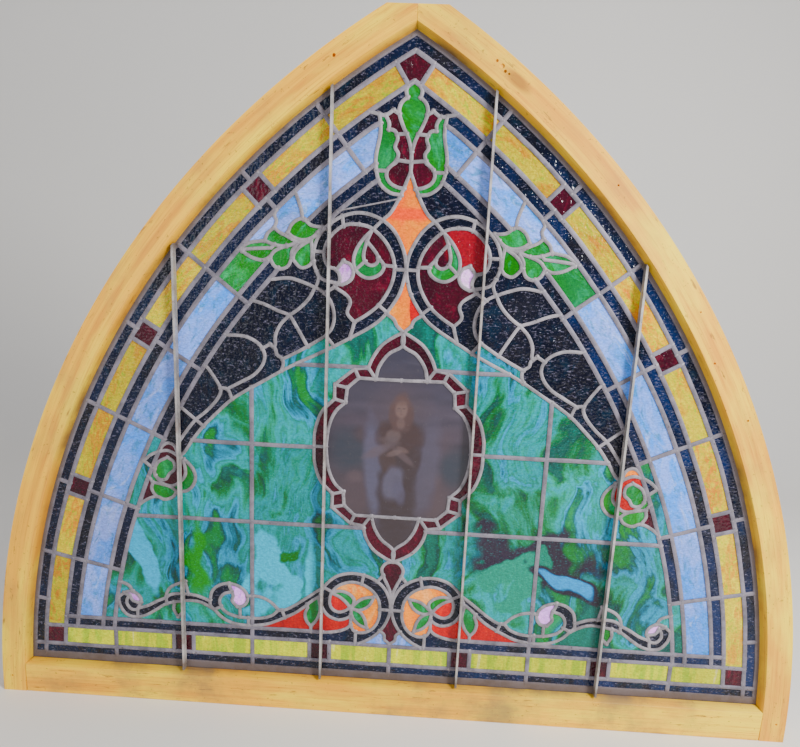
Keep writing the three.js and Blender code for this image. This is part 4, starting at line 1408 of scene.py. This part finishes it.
def rail():
    """The bottom rail: its section drawn along and its ends cut to the shoulders."""
    section = (
        (SASH_FRONT, 0), (SASH_BACK, 0), (SASH_BACK, 43), (-0.5, SIGHT_LINE),
        (-0.5, SIGHT_LINE - 8), (-7.5, SIGHT_LINE - 8), (-7.5, SIGHT_LINE), (SASH_FRONT, FACE_LINE),
    )
    bm = bmesh.new()
    verts = [bm.verts.new(Vector((-600, y, z)) * MM) for y, z in section]
    edges = [bm.edges.new((a, b)) for a, b in zip(verts, verts[1:] + verts[:1])]
    drawn = bmesh.ops.extrude_edge_only(bm, edges=edges)
    far = [item for item in drawn["geom"] if isinstance(item, bmesh.types.BMVert)]
    bmesh.ops.translate(bm, verts=far, vec=(1200 * MM, 0, 0))
    for side in (-1, 1):
        for place, outward in (((569.7, 0), (1, 0)), ((569.7, 48), (15, 20))):
            bmesh.ops.bisect_plane(
                bm, geom=bm.verts[:] + bm.edges[:] + bm.faces[:],
                plane_co=Vector((side * place[0], 0, place[1])) * MM,
                plane_no=(side * outward[0], 0, outward[1]), clear_outer=True,
            )
            rims = [edge for edge in bm.edges if edge.is_boundary]
            bmesh.ops.holes_fill(bm, edges=rims, sides=0)
    bmesh.ops.recalc_face_normals(bm, faces=bm.faces[:])
    return bm


@functools.cache
def panel_plan():
    """The runs of the border and of the ornament, the joints, and the panes of each glass."""
    border = [hand_set(run) for run in mirrored(border_runs())]
    ornament = [hand_set(run) for run in ornament_runs()]
    rim = rim_loop()
    runs, meetings = met_ends(border + ornament + [rim + [rim[0]]])
    panes = {}
    for cell in cut_cells(runs):
        panes.setdefault(pane_glass(cell), []).append(cell)
    return runs[:len(border)], runs[len(border):-1], meetings, panes


def rim_runs():
    """The lead round the panel: up both sides and along the foot."""
    start = angle_at_height(RIM_CENTRE, PANEL_FOOT + 4)
    right = arc_run(RIM_CENTRE, start, angle_at_axis(RIM_CENTRE))
    return [right, [(-x, z) for x, z in right]]


def joints(meetings):
    """Where solder lies: every meeting, and where the border's leads cross, once each."""
    spots = list(meetings)
    for degrees in RUBY_ANGLES:
        for lean in (-RUBY_HALF_ANGLE, RUBY_HALF_ANGLE):
            spots += [on_arc(radius, degrees + lean) for radius in BANDS[:2]]
    for degrees in PLAIN_ANGLES:
        spots += [on_arc(radius, degrees) for radius in BANDS]
    spots += [(-x, z) for x, z in spots[len(meetings):]]
    kept = []
    for spot in spots:
        if all(math.hypot(spot[0] - x, spot[1] - z) > 4.5 for x, z in kept):
            kept.append(spot)
    return kept


# ---- The panel in the sidebar ----


def length(name, description, default, top=50.0):
    return bpy.props.FloatProperty(
        name=name, description=description, default=default, min=0.1, max=top
    )


def colour(name, red, green, blue):
    return bpy.props.FloatVectorProperty(
        name=name, description=f"Main colour of the {name.lower()}", subtype="COLOR", size=3,
        min=0.0, max=1.0, default=tone(red, green, blue)[:3],
    )


class SashSettings(bpy.types.PropertyGroup):
    """Sizes and colours of the timber and the bars."""

    arris: length("Arris", "Width of the softened edges of the timber, in millimetres", 1.1, 4.0)
    bar_arris: length("Bar arris", "Width of the softened edges of the bars, in millimetres", 0.35, 1.0)
    pine: colour("Pine", 240, 192, 92)
    steel: colour("Steel", 176, 172, 170)


class LeadSettings(bpy.types.PropertyGroup):
    """Sizes and colours of the leads."""

    border_width: length("Border lead", "Width of the border leads, in millimetres", 6.4)
    ornament_width: length("Ornament lead", "Width of the ornament leads, in millimetres", 5.0)
    rim_width: length("Rim lead", "Width of the lead round the panel, in millimetres", 12.5)
    height: length("Height", "Height of the leads through the panel, in millimetres", 6.4)
    solder: length("Solder", "Radius of the solder on a joint, in millimetres", 3.9)
    border_lead: colour("Border lead colour", 124, 120, 128)
    ornament_lead: colour("Ornament lead colour", 142, 138, 142)


class GlassSettings(bpy.types.PropertyGroup):
    """Thickness and colours of the glass."""

    thickness: length("Thickness", "Thickness of the glass, in millimetres", 3.0, 5.0)
    relief: bpy.props.FloatProperty(
        name="Relief", description="Strength of the dents in the glass", default=0.75, min=0, max=1,
        subtype="FACTOR",
    )
    amber: colour("Amber glass", 204, 188, 60)
    blue: colour("Blue glass", 146, 174, 232)
    teal: colour("Teal glass", 52, 170, 152)
    navy: colour("Navy glass", 16, 17, 30)
    ruby: colour("Ruby glass", 46, 6, 22)
    green: colour("Green glass", 4, 128, 62)
    lilac: colour("Lilac glass", 224, 190, 240)
    peach: colour("Peach glass", 248, 150, 116)
    red: colour("Red glass", 196, 18, 52)


class StageSettings(bpy.types.PropertyGroup):
    """Light and floor of the studio."""

    key_power: bpy.props.FloatProperty(
        name="Key light", description="Power of the main soft light", default=66.0, min=0,
        unit="POWER",
    )
    fill_power: bpy.props.FloatProperty(
        name="Fill light", description="Power of the fill light", default=20.0, min=0, unit="POWER"
    )
    world: bpy.props.FloatProperty(
        name="Surround", description="Strength of the pale surround", default=0.52, min=0, max=5
    )
    floor: colour("Floor", 226, 224, 220)


# Second colour, streak and wisp of each glass, and how it is rolled: scale and stretch of the
# streaks, scale of the dents, share of the relief, roughness, strength of the painted highlight flecks, value.
GLASSES = {
    "amber": (((196, 132, 14), (146, 182, 44), (240, 232, 150)), 7.5, 0.35, 330, 0.6, 0.24, 0.1, 0.8),
    "blue": (((178, 190, 238), (104, 134, 160), (206, 214, 244)), 4.6, 0.4, 300, 0.55, 0.24, 0.1, 0.86),
    "teal": (((14, 112, 90), (40, 48, 56), (64, 190, 214)), 2.2, 0.42, 330, 0.6, 0.22, 0.1, 0.64),
    "navy": (((10, 18, 38), (8, 40, 60), (24, 24, 34)), 2.6, 0.6, 270, 1.0, 0.13, 0.34, 0.5),
    "ruby": (((64, 6, 28), (96, 10, 40), (30, 4, 16)), 2.6, 0.6, 270, 1.0, 0.14, 0.3, 0.75),
    "green": (((6, 138, 88), (60, 170, 128), (150, 206, 172)), 3.2, 0.4, 330, 0.6, 0.18, 0.1, 0.62),
    "lilac": (((236, 196, 246), (192, 140, 214), (250, 240, 252)), 4.0, 0.5, 330, 0.4, 0.18, 0, 0.9),
    "peach": (((252, 196, 166), (244, 146, 130), (252, 212, 184)), 3.2, 0.45, 330, 0.6, 0.22, 0, 0.9),
    "red": (((190, 22, 56), (228, 96, 92), (136, 6, 44)), 3.4, 0.45, 330, 0.6, 0.2, 0.1, 0.62),
}


def set_bevel(piece, width):
    ease = piece.modifiers.new("eased arrises", "BEVEL")
    ease.width = width * MM
    ease.segments = 2
    ease.limit_method = "ANGLE"
    ease.angle_limit = math.radians(32)


class WINDOW_OT_sash(bpy.types.Operator):
    """Builds the two stiles, the bottom rail and the saddle bars"""

    bl_idname = "window.build_sash"
    bl_label = "Sash and Bars"

    def execute(self, context):
        sizes = context.scene.window_sash
        pine = pine_material(sizes.pine)
        for side, node in ((-1, "left_stile"), (1, "right_stile")):
            bm = stile(side)
            lay_grain(bm, stile_grain)
            piece = piece_from(bm, f"{node}_timber", [pine], [node], 25)
            set_bevel(piece, sizes.arris)
        bm = rail()
        lay_grain(bm, rail_grain)
        piece = piece_from(bm, "bottom_rail_timber", [pine], ["bottom_rail"], 25)
        set_bevel(piece, sizes.arris)
        steel = steel_material(sizes.steel)
        for number in range(1, 5):
            bar = bpy.data.objects[f"saddle_bar_{number}"]
            bar.data.materials.clear()
            bar.data.materials.append(steel)
            set_bevel(bar, sizes.bar_arris)
        return {"FINISHED"}


class WINDOW_OT_leads(bpy.types.Operator):
    """Builds the leads of the panel and the solder on their joints"""

    bl_idname = "window.build_leads"
    bl_label = "Leads"

    def execute(self, context):
        sizes = context.scene.window_leads
        border, ornament, meetings, _ = panel_plan()
        if not border or not ornament:
            raise RuntimeError("The plan has no leads")
        dull = metal_material("Border lead", sizes.border_lead, 0.78, 0.52, 0.35, 70.0)
        pale = metal_material("Ornament lead", sizes.ornament_lead, 0.8, 0.5, 0.35, 80.0)
        bright = metal_material("Solder", sizes.ornament_lead, 0.94, 0.42, 0.5, 60.0)
        rim = bmesh.new()
        for run in rim_runs():
            gather(rim, came(run, sizes.rim_width, sizes.height))
        foot = [(-562 + 1124 * i / 120, PANEL_FOOT + 8.75) for i in range(121)]
        gather(rim, came(foot, 17.5, sizes.height))
        piece_from(rim, "rim_lead", [dull], ["lead_net"])
        repair, plain = ornament[-2], ornament[:-2]
        for name, runs, width, metal in (
            ("border_leads", border, sizes.border_width, dull),
            ("ornament_leads", plain, sizes.ornament_width, pale),
        ):
            bm = bmesh.new()
            for run in runs:
                gather(bm, came(run, width, sizes.height))
            if runs is plain:
                gather(bm, came(repair, 2.4, sizes.height))
            piece_from(bm, name, [metal], ["lead_net"])
        pools = bmesh.new()
        for spot in joints(meetings):
            gather(pools, solder(spot, sizes.solder, sizes.height + 0.3))
        piece_from(pools, "solder_joints", [bright], ["lead_net"], 60)
        return {"FINISHED"}


class WINDOW_OT_glass(bpy.types.Operator):
    """Cuts the panes of coloured glass"""

    bl_idname = "window.build_glass"
    bl_label = "Coloured Glass"

    def execute(self, context):
        sizes = context.scene.window_glass
        panes = panel_plan()[3]
        for name, (others, scale, stretch, dents, relief, *surface) in GLASSES.items():
            if name not in panes:
                raise RuntimeError(f"The plan has no {name} pane")
            look = glass_material(
                f"{name.title()} glass", getattr(sizes, name), others, scale, stretch, dents,
                relief * sizes.relief, *surface,
            )
            bm = glass_panes(panes[name], name, sizes.thickness)
            piece_from(bm, f"{name}_glass", [look], nodes_of(name), 30)
        return {"FINISHED"}


class WINDOW_OT_medallion(bpy.types.Operator):
    """Cuts and paints the three panes of the medallion"""

    bl_idname = "window.build_medallion"
    bl_label = "Medallion"

    def execute(self, context):
        bm = painted_panes(panel_plan()[3]["smoke"], context.scene.window_glass.thickness)
        piece_from(bm, "medallion_painting", [painted_material()], nodes_of("smoke"), 30)
        return {"FINISHED"}


def soft_light(name, place, aim, size, power):
    """A soft area light at a place, facing a point."""
    lamp = bpy.data.lights.new(name, "AREA")
    lamp.shape = "RECTANGLE"
    lamp.size, lamp.size_y = size
    lamp.energy = power
    light = bpy.data.objects.new(name, lamp)
    light.location = place
    light.rotation_euler = (Vector(aim) - Vector(place)).to_track_quat("-Z", "Y").to_euler()
    bpy.context.scene.collection.objects.link(light)


class WINDOW_OT_stage(bpy.types.Operator):
    """Sets the floor, the lights, the surround and the camera"""

    bl_idname = "window.build_stage"
    bl_label = "Stage"

    def execute(self, context):
        settings = context.scene.window_stage
        bm = bmesh.new()
        turns = [math.radians(9 * i) for i in range(11)]
        bend = [(1.0 + 0.5 * math.sin(t), 0.5 - 0.5 * math.cos(t)) for t in turns]
        profile = [(-3.5, 0.0)] + bend + [(1.5, 3.4)]
        verts = [bm.verts.new((-3.5, y, z)) for y, z in profile]
        edges = [bm.edges.new((a, b)) for a, b in zip(verts, verts[1:])]
        swept = bmesh.ops.extrude_edge_only(bm, edges=edges)
        far = [item for item in swept["geom"] if isinstance(item, bmesh.types.BMVert)]
        bmesh.ops.translate(bm, verts=far, vec=(7.0, 0, 0))
        bmesh.ops.recalc_face_normals(bm, faces=bm.faces[:])
        if bm.faces[0].normal.z < 0:
            bmesh.ops.reverse_faces(bm, faces=bm.faces[:])
        mesh = bpy.data.meshes.new("studio_floor")
        bm.to_mesh(mesh)
        bm.free()
        mesh.shade_smooth()
        floor = bpy.data.objects.new("studio_floor", mesh)
        context.scene.collection.objects.link(floor)
        mesh.materials.append(plain_material("Studio floor", settings.floor, 0.7))
        middle = (0, 0, 0.48)
        soft_light("key", (1.35, -1.1, 1.35), middle, (0.45, 0.6), settings.key_power)
        soft_light("fill", (-1.6, -1.8, 1.1), middle, (1.6, 1.6), settings.fill_power)
        surround = bpy.data.worlds.new("Studio")
        surround.use_nodes = True
        sky = next(n for n in surround.node_tree.nodes if n.type == "BACKGROUND")
        sky.inputs["Color"].default_value = (0.9, 0.92, 1.0, 1.0)
        sky.inputs["Strength"].default_value = settings.world
        context.scene.world = surround
        lens = bpy.data.cameras.new("camera")
        lens.lens = 27.0
        lens.clip_start = 0.01
        camera = bpy.data.objects.new("camera", lens)
        camera.location = (0.0239, -0.8325, 0.7018)
        camera.rotation_euler = [math.radians(turn) for turn in (78.9045, -2.5232, 2.3085)]
        context.scene.collection.objects.link(camera)
        context.scene.camera = camera
        return {"FINISHED"}


class WINDOW_PT_panel(bpy.types.Panel):
    """Shows the window's settings and the button of each group of pieces"""

    bl_idname = "WINDOW_PT_panel"
    bl_label = "Stained Glass Window"
    bl_space_type = "VIEW_3D"
    bl_region_type = "UI"
    bl_category = "Window"

    def draw(self, context):
        for name, kind in SETTINGS.items():
            box = self.layout.box()
            for key in kind.__annotations__:
                box.prop(getattr(context.scene, name), key)
        for operator in OPERATORS:
            self.layout.operator(operator.bl_idname)


SETTINGS = {
    "window_sash": SashSettings,
    "window_leads": LeadSettings,
    "window_glass": GlassSettings,
    "window_stage": StageSettings,
}
OPERATORS = (
    WINDOW_OT_sash, WINDOW_OT_leads, WINDOW_OT_glass, WINDOW_OT_medallion, WINDOW_OT_stage,
)


def register():
    for item in (*SETTINGS.values(), *OPERATORS, WINDOW_PT_panel):
        bpy.utils.register_class(item)
    for name, kind in SETTINGS.items():
        setattr(bpy.types.Scene, name, bpy.props.PointerProperty(type=kind))


def unregister():
    for name in SETTINGS:
        delattr(bpy.types.Scene, name)
    for item in reversed((*SETTINGS.values(), *OPERATORS, WINDOW_PT_panel)):
        bpy.utils.unregister_class(item)


def main():
    """Builds the whole window."""
    register()
    for operator in OPERATORS:
        group, name = operator.bl_idname.split(".")
        getattr(getattr(bpy.ops, group), name)()
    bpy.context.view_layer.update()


if __name__ == "__main__":
    main()
